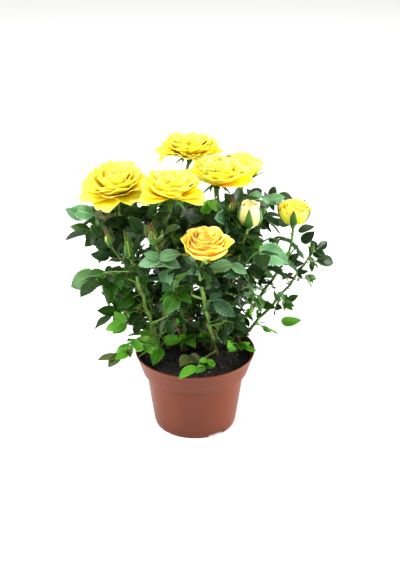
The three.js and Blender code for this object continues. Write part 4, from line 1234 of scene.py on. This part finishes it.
# A cane follows its curve with a small kink at every node, where it also swells into a ring.
def makeCanes():
    for i, name in enumerate(canes):
        rng = np.random.default_rng(bark["seed"] + i)
        curve = caneCurves[name]
        t = np.linspace(0, 1, bark["rows"])
        path = curveAt(curve, t)
        length = np.linalg.norm(np.diff(path, axis=0), axis=1).sum()
        nodes = np.arange(0.7, length / bark["nodeEvery"]) * bark["nodeEvery"] / length
        nodes = nodes + rng.uniform(-0.02, 0.02, len(nodes))
        heading = headingAt(curve, t)
        side = unit(np.cross(heading, turned(np.array([1.0, 0, 0]), up, np.array(rng.uniform(0, 3.1)))))
        kinks = np.concatenate([[0], (-1.0) ** np.arange(len(nodes)), [0]])
        zigzag = np.interp(t, np.concatenate([[0], nodes, [1]]), kinks)
        path = path + side * (zigzag * bark["kink"])[:, None]
        path[0, 2] -= 3
        ends = path[-1] + heading[-1] * 0.8
        path = np.concatenate([path, [ends]])
        radii = np.append(caneRadius(name, t), caneRadii[name][1] * 0.9)
        turn = rng.uniform(0, 6.28, len(nodes))

        def relief(t, angle):
            ring = np.zeros(np.broadcast(t, angle).shape)
            for at, a in zip(nodes, turn):
                near = np.exp(-((t - at) / bark["nodeWidth"]) ** 2)
                ring = ring + near * bark["swelling"] * (0.7 + 0.6 * np.cos(angle - a))
            return 1 + ring + 0.03 * np.sin(5 * angle + 9 * t) + 0.035 * np.sin(2 * angle + 31 * t)

        parts = [tubes(path[None], radii[None], bark["sides"], 0, relief)]
        at = rng.uniform(0.08, 0.95, bark["prickles"])
        around = rng.uniform(0, 2 * np.pi, bark["prickles"])
        root, along = curveAt(curve, at), headingAt(curve, at)
        out = turned(unit(np.cross(along, np.array([0.3, 1.0, 0.1]))), along, around)
        big = rng.uniform(0.7, 1.25, (bark["prickles"], 1))
        r = caneRadius(name, at)[:, None] * 0.8
        thorn = np.stack([root + out * r, root + out * (r + 1.3 * big) - along * 0.2 * big,
                          root + out * (r + 2.4 * big) - along * 0.9 * big,
                          root + out * (r + 3.1 * big) - along * 1.9 * big], 1)
        parts.append(tubes(thorn, np.array([0.95, 0.55, 0.28, 0.06]) * big, bark["prickleSides"], 1))
        skin = barkDeep if name in deepBarkOn else barkFresh
        makePiece(f"bark_{name}", parts, [skin, prickleMaterial], [f"cane_{name}"])


makeCanes()
print("canes made")


# Closed thin shells on a grid of rows from foot to rim and columns across. Both sides share the
# points all round, and those edges stay crisp.
def shells(points, normals, thickness, material=0):
    n, rows, cols = points.shape[:3]
    size = rows * cols
    face = np.arange(size).reshape(rows, cols)
    back = face + size
    back[0], back[-1], back[:, 0], back[:, -1] = face[0], face[-1], face[:, 0], face[:, -1]
    faces = cellFaces(face, material, True) + cellFaces(back, material)
    both = np.concatenate([(points + normals * thickness / 2).reshape(n, size, 3),
                           (points - normals * thickness / 2).reshape(n, size, 3)], 1)
    edge = np.zeros((rows, cols), bool)
    edge[0], edge[-1], edge[:, 0], edge[:, -1] = True, True, True, True
    v, u = np.meshgrid(np.linspace(0, 1, rows), np.linspace(0, 1, cols), indexing="ij")
    uv = np.tile(np.stack([u, v], -1).reshape(-1, 2), (2 * n, 1))
    rim = np.tile(edge.ravel(), 2 * n)
    return tidy(both.reshape(-1, 3), repeated(grouped(faces), n, 2 * size), uv, rim)


# A petal or sepal. In the upright plane through the flower's axis its midline leaves at angle lean
# from the axis and ends at tipLean, an arc: r = foot + L (cos lean - cos a) / (tipLean - lean) and
# h = rise + L (sin a - sin lean) / (tipLean - lean). Across, it is part of a round of curvature cup
# that opens towards the axis, and near the rim it is ruffled and rolls back.
def blades(centre, axis, turn, lean, tipLean, length, width, foot, rise, cup, roll, ruffle, rng,
           rows=9, cols=11, pointed=False, tilt=0.0):
    n = len(turn)
    column = lambda v: np.broadcast_to(np.asarray(v, float), (n,))[:, None, None]
    lean, tipLean, length, width, foot, rise, roll, ruffle, turn = map(
        column, (lean, tipLean, length, width, foot, rise, roll, ruffle, turn))
    s = np.linspace(0, 1, rows)[None, :, None]
    u = np.linspace(-1, 1, cols)[None, None, :]
    wave = rng.uniform(0, 2 * np.pi, (5, n, 1, 1))
    if pointed:
        reach = s * (1 + 0 * u)
        half = width / 2 * (np.minimum(1, (s + 0.04) / 0.3) ** 0.5 * (1 - s) ** 0.85 * 1.15 + 0.07)
    else:
        ragged = (0.035 * np.sin(4 * u + wave[0]) + 0.03 * np.sin(10 * u + wave[1])
                  - 0.045 * np.exp(-((u - 0.1) / 0.16) ** 2))
        reach = s * (1 - 0.07 * u ** 2 - 0.14 * u ** 4 + ragged)
        half = width / 2 * (0.3 + 0.7 * np.sin(np.pi / 2 * np.minimum(s / 0.72, 1)))
        half = half * (1 - 0.14 * np.clip((s - 0.72) / 0.28, 0, 1) ** 2)
    bow = np.where(np.abs(tipLean - lean) < 0.01, 0.01, tipLean - lean)
    a = lean + bow * reach
    r = foot + length * (np.cos(lean) - np.cos(a)) / bow
    h = rise + length * (np.sin(a) - np.sin(lean)) / bow
    cup = cup(r) if callable(cup) else column(cup)
    across = u * half
    y = np.sin(across * cup) / cup
    off = (1 - np.cos(across * cup)) / cup
    ruffles = (0.5 * np.sin(3.4 * u + wave[2]) + 0.4 * np.sin(7.5 * u + wave[3])
               + 0.2 * np.sin(13 * u + wave[4]))
    off = off + ruffle * length * reach ** 2.5 * ruffles
    off = off + rng.normal(0, 1, (n, 1, 1)) * tilt * y * reach
    off = off - roll * length * reach ** 5 * (0.75 + 0.25 * u ** 2)
    y = y + rng.normal(0, 0.05, (n, 1, 1)) * length * reach ** 2
    radial, height = r - np.cos(a) * off, h + np.sin(a) * off
    er, et = spokes(axis, turn)
    points = centre + er * radial[..., None] + et * y[..., None] + axis * height[..., None]
    normals = -er * np.cos(a)[..., None] + axis * np.sin(a)[..., None]
    return points, np.broadcast_to(normals, points.shape)


# directions out from a flower's axis and round it; a turn of 0 is to the left and 90 degrees to the front
def spokes(axis, turn):
    ex = unit(np.cross(axis, [0.0, 1.0, 0.0]))
    ey = np.cross(axis, ex)
    c, sn = np.cos(turn)[..., None], np.sin(turn)[..., None]
    return ex * c + ey * sn, ey * c - ex * sn


# A petal or sepal that wraps round the axis. Its midline follows a profile of radius r(s) and height
# h(s), and across it goes round by an angle f up to half of span(s):
# P = centre + axis h + r (out cos f + round sin f). One side lies a little outside the next petal.
def wraps(centre, axis, turn, span, radius, height, profile, rng, rows=9, cols=11, pointed=False,
          spiral=0.05, ruffle=0.02, beak=0.0, lip=0.0):
    n = len(turn)
    column = lambda v: np.broadcast_to(np.asarray(v, float), (n,))[:, None, None]
    radius, height, span, lip, turn = map(column, (radius, height, span, lip, turn))
    s = np.linspace(0, 1, rows)[None, :, None]
    u = np.linspace(-1, 1, cols)[None, None, :]
    wave = rng.uniform(0, 2 * np.pi, (4, n, 1, 1))
    if pointed:
        reach = s * (1 + 0 * u) + 0 * turn
        wide = np.minimum(1, (s + 0.1) / 0.3) * (1 - s) ** 0.7 + 0.02
    else:
        ragged = 0.025 * np.sin(4 * u + wave[0]) + 0.02 * np.sin(8 * u + wave[1])
        reach = s * (1 - 0.1 * u ** 2 - 0.1 * u ** 4 + ragged + beak * (np.exp(-np.abs(u) / 0.25) - 0.2))
        wide = 0.4 + 0.6 * np.sin(np.pi / 2 * np.minimum(s / 0.5, 1))
    at, rs, hs = np.array(profile).T
    r = radius * np.interp(reach, at, rs) + lip * radius * np.clip((reach - 0.8) / 0.2, 0, 1.4) ** 2
    h = height * np.interp(reach, at, hs)
    step = 0.02
    dr = radius * (np.interp(reach + step, at, rs) - np.interp(reach - step, at, rs))
    dh = height * (np.interp(reach + step, at, hs) - np.interp(reach - step, at, hs)) + 1e-6
    a = np.arctan2(dr, dh)
    ruffles = np.sin(3.1 * u + wave[2]) + 0.7 * np.sin(6.7 * u + wave[3])
    r = r * (1 + spiral * u + ruffle * reach ** 2 * ruffles)
    f = u * span * wide / 2
    er, et = spokes(axis, turn)
    out = er * np.cos(f)[..., None] + et * np.sin(f)[..., None]
    points = centre + out * r[..., None] + axis * h[..., None]
    normals = -out * np.cos(a)[..., None] + axis * np.sin(a)[..., None]
    return points, normals


# How an open flower is made: its petals, then from the inmost to the outmost their lean at foot and
# rim in degrees and their length over the flower's radius, and how wide, ruffled and rolled they are
openKinds = {
    "full": dict(count=44, lean=(14, 40, 56, 68, 77), tip=(-18, -4, 14, 42, 66),
                 length=(0.66, 0.8, 0.93, 1.03, 1.05), width=1.45, ruffle=0.08, roll=0.07),
    "pompon": dict(count=56, lean=(20, 46, 62, 74, 82), tip=(-2, 26, 50, 68, 80),
                   length=(0.6, 0.74, 0.9, 1.0, 1.02), width=1.05, ruffle=0.075, roll=0.05),
}
# A cupped flower is made of rounds of petals, each a share of the flower's radius and height, with
# its number of petals and their span in degrees. All follow one profile: (way up, radius, height).
cupKinds = {
    "bowl": dict(rounds=((0.98, 0.56, 5, 100), (0.94, 0.74, 5, 104), (0.85, 0.88, 6, 88),
                         (0.74, 0.97, 5, 104), (0.6, 1.03, 5, 106), (0.46, 1.08, 5, 106),
                         (0.33, 1.1, 4, 124), (0.2, 1.1, 4, 126),
                         (0.1, 1.04, 3, 150)),
                 profile=((0, 0.12, 0), (0.25, 0.55, 0.16), (0.5, 0.82, 0.42), (0.75, 0.97, 0.72),
                          (1, 1.02, 1)),
                 beak=0.06, lip=0.12, ruffle=0.06),
    "cup": dict(rounds=((1, 0.88, 5, 112), (0.9, 0.97, 5, 108), (0.74, 1, 5, 108), (0.57, 1.02, 5, 108),
                        (0.4, 1.02, 4, 130), (0.24, 1, 4, 140), (0.11, 0.97, 3, 170)),
                profile=((0, 0.15, 0), (0.25, 0.6, 0.16), (0.5, 0.88, 0.42), (0.75, 1.0, 0.72),
                         (1, 0.96, 1)),
                beak=0.03, lip=0.1, ruffle=0.03),
    "opening": dict(rounds=((1, 0.95, 3, 170), (0.9, 1, 3, 170), (0.72, 1, 3, 190), (0.52, 1, 3, 200),
                            (0.33, 1, 2, 250), (0.16, 0.98, 2, 260)),
                    profile=((0, 0.3, 0), (0.2, 0.84, 0.16), (0.42, 1.0, 0.4), (0.72, 0.86, 0.74),
                             (1, 0.58, 1)),
                    beak=0.0, lip=0.16, ruffle=0.012),
}
ranks = (0, 0.3, 0.6, 0.85, 1)
petalLooks = {"seed": 200, "thickness": 0.35, "rows": 10, "columns": 17, "tilt": 0.12}
# each flower's kind and colour
flowerLooks = {
    "top": ("pompon", "lemon"), "left": ("full", "lemon"), "mid_left": ("full", "lemon"),
    "mid_right": ("full", "lemon"), "back_right": ("cup", "lemon"), "front": ("bowl", "gold"),
    "inner_right": ("opening", "cream"), "right": ("cup", "lemon"), "back": ("full", "lemon"),
}
# petals that hang out of their flower: turn in degrees, distance out and height of the foot, lean at
# foot and tip, length, width
loosePetals = {"top": [(16, 20, 5, 96, 172, 16, 11)],
               "left": [(76, 3, 0.5, 78, 100, 34, 27), (26, 3, 0.5, 77, 94, 34, 26),
                        (124, 3, 0.5, 76, 92, 33, 26)],
               "mid_left": [(150, 3, 0.5, 78, 98, 32, 24), (42, 3, 0.5, 77, 103, 31, 26)]}


def openPetals(name, bloom, look, rng):
    n, radius, base, axis = look["count"], bloom["radius"], bloom["base"], bloom["axis"]
    q = np.arange(n) / (n - 1)
    turn = np.arange(n) * gold + rng.normal(0, 0.16, n)
    lean = np.radians(np.interp(q, ranks, look["lean"])) + rng.normal(0, 0.06, n)
    tipLean = np.radians(np.interp(q, ranks, look["tip"])) + rng.normal(0, 0.12, n)
    length = radius * np.interp(q, ranks, look["length"]) * rng.uniform(0.9, 1.03, n)
    width = mix(0.5 * radius, look["width"] * radius, q ** 0.6) * rng.uniform(0.85, 1.1, n)
    wrap = np.clip(1.2 - 1.1 * q, 0.1, 1)[:, None, None]
    cup = lambda r: wrap / (np.maximum(r, 0) + 2.2) + (1 - wrap) * 0.6 / radius
    opened = blades(base, axis, turn, lean, tipLean, length, width, mix(0.6, 3.2, q), mix(2.5, 0.0, q), cup,
                    look["roll"] * q, look["ruffle"] * (0.4 + 0.6 * q), rng, petalLooks["rows"],
                    petalLooks["columns"], tilt=petalLooks["tilt"])
    parts = [shells(*opened, petalLooks["thickness"])]
    if name in loosePetals:
        turn, foot, rise, lean, tipLean, length, width = np.array(loosePetals[name], float).T
        turn, lean, tipLean = np.radians(turn), np.radians(lean), np.radians(tipLean)
        loose = blades(base, axis, turn, lean, tipLean, length, width, foot, rise, 0.03, 0.02, 0.06, rng)
        parts.append(shells(*loose, petalLooks["thickness"]))
    return parts


def cupPetals(bloom, look, rng):
    parts = []
    start = rng.uniform(0, 2 * np.pi)
    for radius, height, count, span in look["rounds"]:
        turn = start + 2 * np.pi * np.arange(count) / count + rng.normal(0, 0.07, count)
        start += gold + rng.normal(0, 0.15)
        r = radius * bloom["radius"] * rng.uniform(0.95, 1.03, count)
        h = height * bloom["height"] * rng.uniform(0.94, 1.03, count)
        spans = np.radians(span) * rng.uniform(0.9, 1.1, count)
        lips = look["lip"] * rng.uniform(0.4, 1.4, count)
        wrapped = wraps(bloom["base"], bloom["axis"], turn, spans, r, h, look["profile"], rng,
                        beak=look["beak"], ruffle=look["ruffle"], lip=lips)
        parts.append(shells(*wrapped, petalLooks["thickness"]))
    return parts


def makeFlower(i, name):
    bloom = blooms[name]
    kind, tone = flowerLooks[name]
    rng = np.random.default_rng(petalLooks["seed"] + i)
    if kind in openKinds:
        parts = openPetals(name, bloom, openKinds[kind], rng)
    else:
        parts = cupPetals(bloom, cupKinds[kind], rng)
    makePiece(f"petals_{name}", parts, [petalMaterials[tone]], [f"bloom_{name}"])


for i, name in enumerate(blooms):
    makeFlower(i, name)
print("petals made")

# Stalks, seed cups and sepals. A seed cup is an urn: radius against height under the petals.
urn = np.array([(-7.0, 1.3), (-5.6, 1.9), (-3.8, 3.1), (-2.0, 3.6), (-0.6, 3.2), (0.6, 2.2)])
sepals = {"count": 5, "width": 6.2, "rows": 9, "columns": 5, "thickness": 0.5, "seed": 300}
# under an open flower: lean at foot and tip in degrees and length; on a cupped one: turn of the first
# in degrees, its height over the flower's, and how far its tip stands out
openSepals = {"full": (105, 150, 17), "pompon": (100, 150, 16)}
cupSepals = {"front": (90, 0.34, 0.5), "right": (84, 1.05, 0.1), "back_right": (150, 0.6, 0.3),
             "inner_right": (14, 0.96, 0.1)}


def sepalsOf(name, bloom, rng):
    kind, count, base, axis = flowerLooks[name][0], sepals["count"], bloom["base"], bloom["axis"]
    rows, columns, thickness = sepals["rows"], sepals["columns"], sepals["thickness"]
    turn = 2 * np.pi * np.arange(count) / count + rng.normal(0, 0.08, count)
    if kind in openSepals:
        lean, tipLean, length = openSepals[kind]
        lean = np.radians(lean + rng.normal(0, 6, count))
        tipLean = np.radians(tipLean + rng.normal(0, 10, count))
        length = length * rng.uniform(0.85, 1.1, count)
        spread = blades(base, axis, turn + 0.3, lean, tipLean, length, sepals["width"], 2.4, -0.6, 0.1,
                        0.03, 0.03, rng, rows, columns, True)
        return shells(*spread, thickness, 1)
    first, share, out = cupSepals[name]
    _, rs, hs = np.array(cupKinds[kind]["profile"]).T
    s = np.linspace(0, 1, rows)
    r = np.interp(s * share, hs, rs) * bloom["radius"] + 0.9 + out * bloom["radius"] * s ** 4
    profile = np.stack([s, r, s * share * bloom["height"] - 0.8], 1)
    span = sepals["width"] * 1.4 / (0.75 * bloom["radius"])
    wrapped = wraps(base, axis, turn + np.radians(first), span, 1, 1, profile, rng, rows, columns, True, 0)
    return shells(*wrapped, thickness, 1)


def makeStalks():
    greens = []
    for i, (name, bloom) in enumerate(blooms.items()):
        rng = np.random.default_rng(sepals["seed"] + i)
        t = np.linspace(0, 1, 26)
        path = curveAt(bloom["curve"], t)
        path = np.concatenate([path[:1] - headingAt(bloom["curve"], 0) * 1.5, path])
        greens.append(tubes(path[None], stalkRadius(name, np.append(0, t))[None], 10))
        axis, base = bloom["axis"], bloom["base"]
        scale = 0.8 if bloom["radius"] < 20 else 1.0
        cupPath = base + axis * urn[:, :1] * scale
        greens.append(tubes(cupPath[None], (urn[:, 1] * scale)[None], 12))
        greens.append(sepalsOf(name, bloom, rng))
    makePiece("flower_stalks", greens, [barkFresh, sepalGreen], [f"bloom_{n}" for n in blooms])


makeStalks()

# Closed buds: an egg with folded petals, r = girth sin(pi h^0.72)^0.75, and five sepals that lie on
# it and end above it in long thin tips that spread a little
buds = [(name, shootCurves[name], shoots[name][5]) for name in shoots if shoots[name][5]]
budLooks = {"girth": 0.27, "sepalLength": 1.75, "spread": 0.06, "span": 80, "seed": 400, "shut": 0.72}


def makeBuds():
    parts = []
    for i, (_, curve, length) in enumerate(buds):
        rng = np.random.default_rng(budLooks["seed"] + i)
        axis, base = budAxis(curve), curve[2]
        girth = budLooks["girth"] * length
        egg = lambda h: np.sin(np.pi * np.clip(h, 0.0001, 0.98) ** 0.72) ** 0.75 * girth
        h = np.linspace(0, 1, 11)
        path = base + axis * (h * length - 0.4)[:, None]
        fold = lambda t, angle: 1 + 0.08 * np.sin(2 * angle + 7 * t) + 0.04 * np.sin(3 * angle - 5 * t)
        parts.append(tubes(path[None], (egg(h) * 0.92 + 0.1)[None], 12, 0, fold))
        cup = base + axis * (urn[:, :1] * 0.5 - 0.4)
        parts.append(tubes(cup[None], (urn[:, 1] * 0.5)[None], 10, 1))
        s = np.linspace(0, 1, 13)
        way, shut = s * budLooks["sepalLength"], budLooks["shut"]
        r = egg(np.minimum(way, shut)) * np.where(way < shut, 1, np.exp(-(way - shut) * 1.4)) + 0.35
        r = r + budLooks["spread"] * length * np.clip((s - 0.5) / 0.5, 0, 1) ** 2 * rng.uniform(0.3, 1.5)
        profile = np.stack([s, r, way * length - 0.6], 1)
        turn = 2 * np.pi * np.arange(5) / 5 + rng.normal(0, 0.1, 5) + i
        height = rng.uniform(0.8, 1.08, 5)
        wrapped = wraps(base, axis, turn, np.radians(budLooks["span"]), 1, height, profile, rng, len(s), 5,
                        True, 0, 0.03)
        parts.append(shells(*wrapped, 0.4, 2 if i % 2 == 0 else 1))
    makePiece("buds", parts, [budPetal, sepalGreen, sepalRed],
              [f"shoot_{name}" for name, *_ in buds])


makeBuds()
print("stalks and buds made")

# A leaf stalk arches a little: its middle stands above the straight line by a share of its length
twigLooks = {"seed": 900, "arch": 0.08, "redShare": 0.35, "stalkRadius": (0.72, 0.36)}
leafRng = np.random.default_rng(twigLooks["seed"])
for leaf in grown:
    straight = np.linalg.norm(leaf["joint"] - leaf["root"])
    leaf["lift"] = twigLooks["arch"] * straight * leafRng.uniform(0.3, 1.6)
    lift = 4 * leaf["shares"] * (1 - leaf["shares"]) * leaf["lift"]
    leaf["base"] = leaf["base"] + leaf["facing"] * lift[:, None]


sideTwigLooks = {"apart": 1.0, "bend": 0.4, "radius": (0.95, 0.72), "sides": 5, "steps": 9}


# Side twigs join what starts apart from the stems to the nearest point of one: a curve of three
# points that leaves the stem's centre and comes in along the heading of what it carries
def sideTwigs(starts, headings, stems, girth, material):
    gaps = np.linalg.norm(starts[:, None] - stems, axis=2)
    reach = gaps.min(1)
    far = reach > sideTwigLooks["apart"]
    foot, end = stems[gaps.argmin(1)][far][:, None], starts[far][:, None]
    middle = end - (headings * reach[:, None] * sideTwigLooks["bend"])[far][:, None]
    u = np.linspace(0, 1, sideTwigLooks["steps"])[None, :, None]
    paths = foot * (1 - u) ** 2 + middle * 2 * u * (1 - u) + end * u * u
    print(f"side twigs: {far.sum()}, the longest {reach.max():.1f} mm")
    return tubes(paths, mix(*sideTwigLooks["radius"], u[..., 0]) * girth[far][:, None],
                 sideTwigLooks["sides"], material)


def makeTwigs():
    t = np.linspace(0, 1, 16)
    stems = []
    for name, curve in shootCurves.items():
        cane, at = shoots[name][:2]
        start = curveAt(caneCurves[cane], at)
        stems.append(np.concatenate([[start], curveAt(curve, t)]))
    radii = mix(stemRadius, 0.8, np.append(0, t)) * (1 + 0.35 * np.exp(-np.append(0, t) * 14))
    knots = lambda t, angle: 1 + 0.16 * np.abs(np.sin(14 * t)) ** 12 + 0.04 * np.sin(3 * angle + 11 * t)
    parts = [tubes(np.array(stems), radii[None], 8, 0, knots)]
    u = np.linspace(0, 1, 7)[None, :, None]
    root, joint, facing = (np.array([leaf[k] for leaf in grown])[:, None] for k in ("root", "joint", "top"))
    lift = np.array([leaf["lift"] for leaf in grown])[:, None, None]
    size = np.array([leaf["size"] for leaf in grown])[:, None]
    paths = mix(root, joint, u) + facing * 4 * u * (1 - u) * lift
    paths[:, 0] -= facing[:, 0] * 0.3
    radii = mix(*twigLooks["stalkRadius"], u[..., 0]) * np.sqrt(size)
    red = leafRng.random(len(grown)) < twigLooks["redShare"]
    red &= np.array([leaf["source"] != "features" for leaf in grown])
    parts += [tubes(paths[~red], radii[~red], 5, 1), tubes(paths[red], radii[red], 5, 2)]
    wiry = np.array([curveAt(np.array(wisp, float), np.linspace(0, 1, 14)) for wisp in wisps])
    parts.append(tubes(wiry, np.linspace(1, 0.6, 14)[None] * wispLooks["radius"], 6, 2))
    fineT = np.linspace(0, 1, 160)
    curves = [*caneCurves.values(), *shootCurves.values(), *(bloom["curve"] for bloom in blooms.values())]
    footholds = np.concatenate([curveAt(curve, fineT) for curve in curves])
    girths = np.full(len(wiry), wispLooks["girth"])
    parts.append(sideTwigs(wiry[:, 0], unit(wiry[:, 1] - wiry[:, 0]), footholds, girths, 2))
    footholds = np.concatenate([footholds] + [curveAt(np.array(wisp, float), fineT) for wisp in wisps])
    parts.append(sideTwigs(root[:, 0], unit(joint - root)[:, 0], footholds, np.sqrt(size[:, 0]), 1))
    makePiece("twigs", parts, [barkFresh, stalkGreen, stalkRed], [f"shoot_{n}" for n in shoots])


makeTwigs()
print("twigs made")

# a leaflet's stations, the teeth of its rim and how far its midrib stands out underneath
blade = {"stations": 8, "tooth": (0.93, 1.06), "rib": 0.45, "seed": 901}


# One leaflet's points: (t along, s across from -1 to 1, depth) and its faces. The rim has two steps
# to a station, so that each second one stands out as a tooth.
def leafletPattern():
    k = blade["stations"]
    points, faces = [], []

    def add(t, s, depth=0.0, rim=False):
        points.append((t, s, depth, rim))
        return len(points) - 1

    foot, tip = add(0, 0, 0, True), add(1, 0, 0, True)
    inner = lambda s, depth=0.0: [foot] + [add(i / k, s, depth) for i in range(1, k)] + [tip]
    middle, under = inner(0), inner(0, 1.0)
    for s in (-1, 1):
        half = inner(0.52 * s)
        rim = [foot] + [add((j + 0.45 * (j % 2)) / (2 * k), s * blade["tooth"][j % 2], 0, True)
                        for j in range(1, 2 * k)] + [tip]
        for i in range(k):
            quad = [middle[i], middle[i + 1], half[i + 1], half[i]]
            wide = [half[i], half[i + 1], rim[2 * i + 2], rim[2 * i + 1], rim[2 * i]]
            low = [under[i], rim[2 * i], rim[2 * i + 1], rim[2 * i + 2], under[i + 1]]
            for corners, material in ((quad, 0), (wide, 0), (low, 1)):
                faces.append((corners if s > 0 else corners[::-1], material))
    return np.array(points, float), grouped(faces)


leafletPoints, leafletFaces = leafletPattern()


# A leaflet's midrib bends down along an arc of angle droop, P(t) = L sin(droop t) / droop along and
# -L (1 - cos(droop t)) / droop up. Its halves fold up from it, arch between midrib and rim, and the
# whole blade twists along its length.
def leafletParts(leaflets, rng):
    n = len(leaflets["length"])
    t, s, depth, rim = leafletPoints.T
    base, along, facing = (leaflets[k][:, None] for k in ("base", "along", "facing"))
    length = leaflets["length"][:, None]
    ratio = leaflets["ratio"][:, None]
    droop = leaflets["droop"][:, None] + 0.02
    fold = rng.uniform(0.2, 0.62, (n, 1))
    curve = rng.uniform(0.05, 0.3, (n, 1))
    twist = rng.normal(0, 0.22, (n, 1)) * t
    wave = rng.uniform(0, 6.28, (n, 2))[:, None]
    half = length * ratio / 2 * leafletWidth(t)
    x = length * np.sin(droop * t) / droop
    z = -length * (1 - np.cos(droop * t)) / droop
    tangent = along * np.cos(droop * t)[..., None] - facing * np.sin(droop * t)[..., None]
    across = np.cross(facing, along)
    normal = np.cross(tangent, across)
    c, sn = np.cos(twist)[..., None], np.sin(twist)[..., None]
    across, normal = across * c + normal * sn, normal * c - across * sn
    y = s * half * np.cos(fold)
    edge = np.abs(s) * half
    off = edge * np.sin(fold) - curve * edge * np.abs(s) - blade["rib"] * depth
    off = off + 0.1 * edge * np.sin(7 * t + np.where(s > 0, wave[..., 0], wave[..., 1]))
    points = (base + along * x[..., None] + facing * z[..., None] + across * y[..., None]
              + normal * off[..., None])
    uv = np.tile(np.stack([0.5 + 0.5 * np.clip(s, -1, 1), t], -1), (n, 1))
    return dict(points=points.reshape(-1, 3), faces=repeated(leafletFaces, n, len(t)), uv=uv,
                rim=np.tile(rim > 0, n))


# which colour a leaf has: fresh low down and on the young shoots, darker and bluer higher up, and
# darkest under the blooms and in the heart of the bush, where the dark colour is painted shade
tints = {"low": (("fresh", 0.22), ("green", 0.5), ("deep", 0.2), ("olive", 0.05), ("bronze", 0.03)),
         "high": (("deep", 0.5), ("green", 0.28), ("blue", 0.15), ("pale", 0.05), ("olive", 0.02)),
         "shaded": (("deep", 0.9), ("bronze", 0.03), ("blue", 0.07)),
         "young": (("fresh", 0.8), ("green", 0.2))}
# leaves are low up to a height; the shaded ones stand above a level along the line of sight, or in
# the heart of the bush, between two places across and up to a height
tintLimits = {"low": 118, "crown": 204, "heart": (-40, 6), "heartTop": 172}


def tintOf(leaf, draw):
    if leaf.get("tint"):
        return leaf["tint"]
    x, y, z = leaf["joint"]
    left, right = tintLimits["heart"]
    level = "young" if leaf["young"] else "low" if z < tintLimits["low"] else "high"
    underBlooms = z + y * sight["fall"] > tintLimits["crown"]
    # painted shade: leaves under the blooms and in the heart of the bush take the darkest colours
    if level == "high" and (underBlooms or left < x < right and z < tintLimits["heartTop"]):
        level = "shaded"
    for tint, share in tints[level]:
        draw -= share
        if draw < 0:
            return tint
    return tints[level][0][0]


def makeLeaves():
    rng = np.random.default_rng(blade["seed"])
    sprays = {}
    for leaf in grown:
        sprays.setdefault(tintOf(leaf, rng.random()), []).append(leaf)
    for tint, leaves in sorted(sprays.items()):
        leaflets = {key: np.concatenate([leaf[key] for leaf in leaves])
                    for key in ("base", "along", "facing", "length")}
        n = len(leaflets["length"])
        leaflets["length"] = leaflets["length"] * rng.uniform(0.92, 1.04, n)
        leaflets["facing"] = turned(leaflets["facing"], leaflets["along"], rng.normal(0, 0.3, n))
        leaflets["ratio"] = rng.uniform(0.56, 0.7, n)
        leaflets["droop"] = rng.uniform(0.1, 0.7, n)
        names = {leaf["source"] for leaf in leaves} & set(shoots)
        makePiece(f"leaves_{tint}", [leafletParts(leaflets, rng)], leafMaterials[tint],
                  [f"shoot_{n}" for n in sorted(names)])


makeLeaves()
print("leaves made")

# The size of what is shown, before and after
boxOfLooks = [list(corner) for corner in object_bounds()]
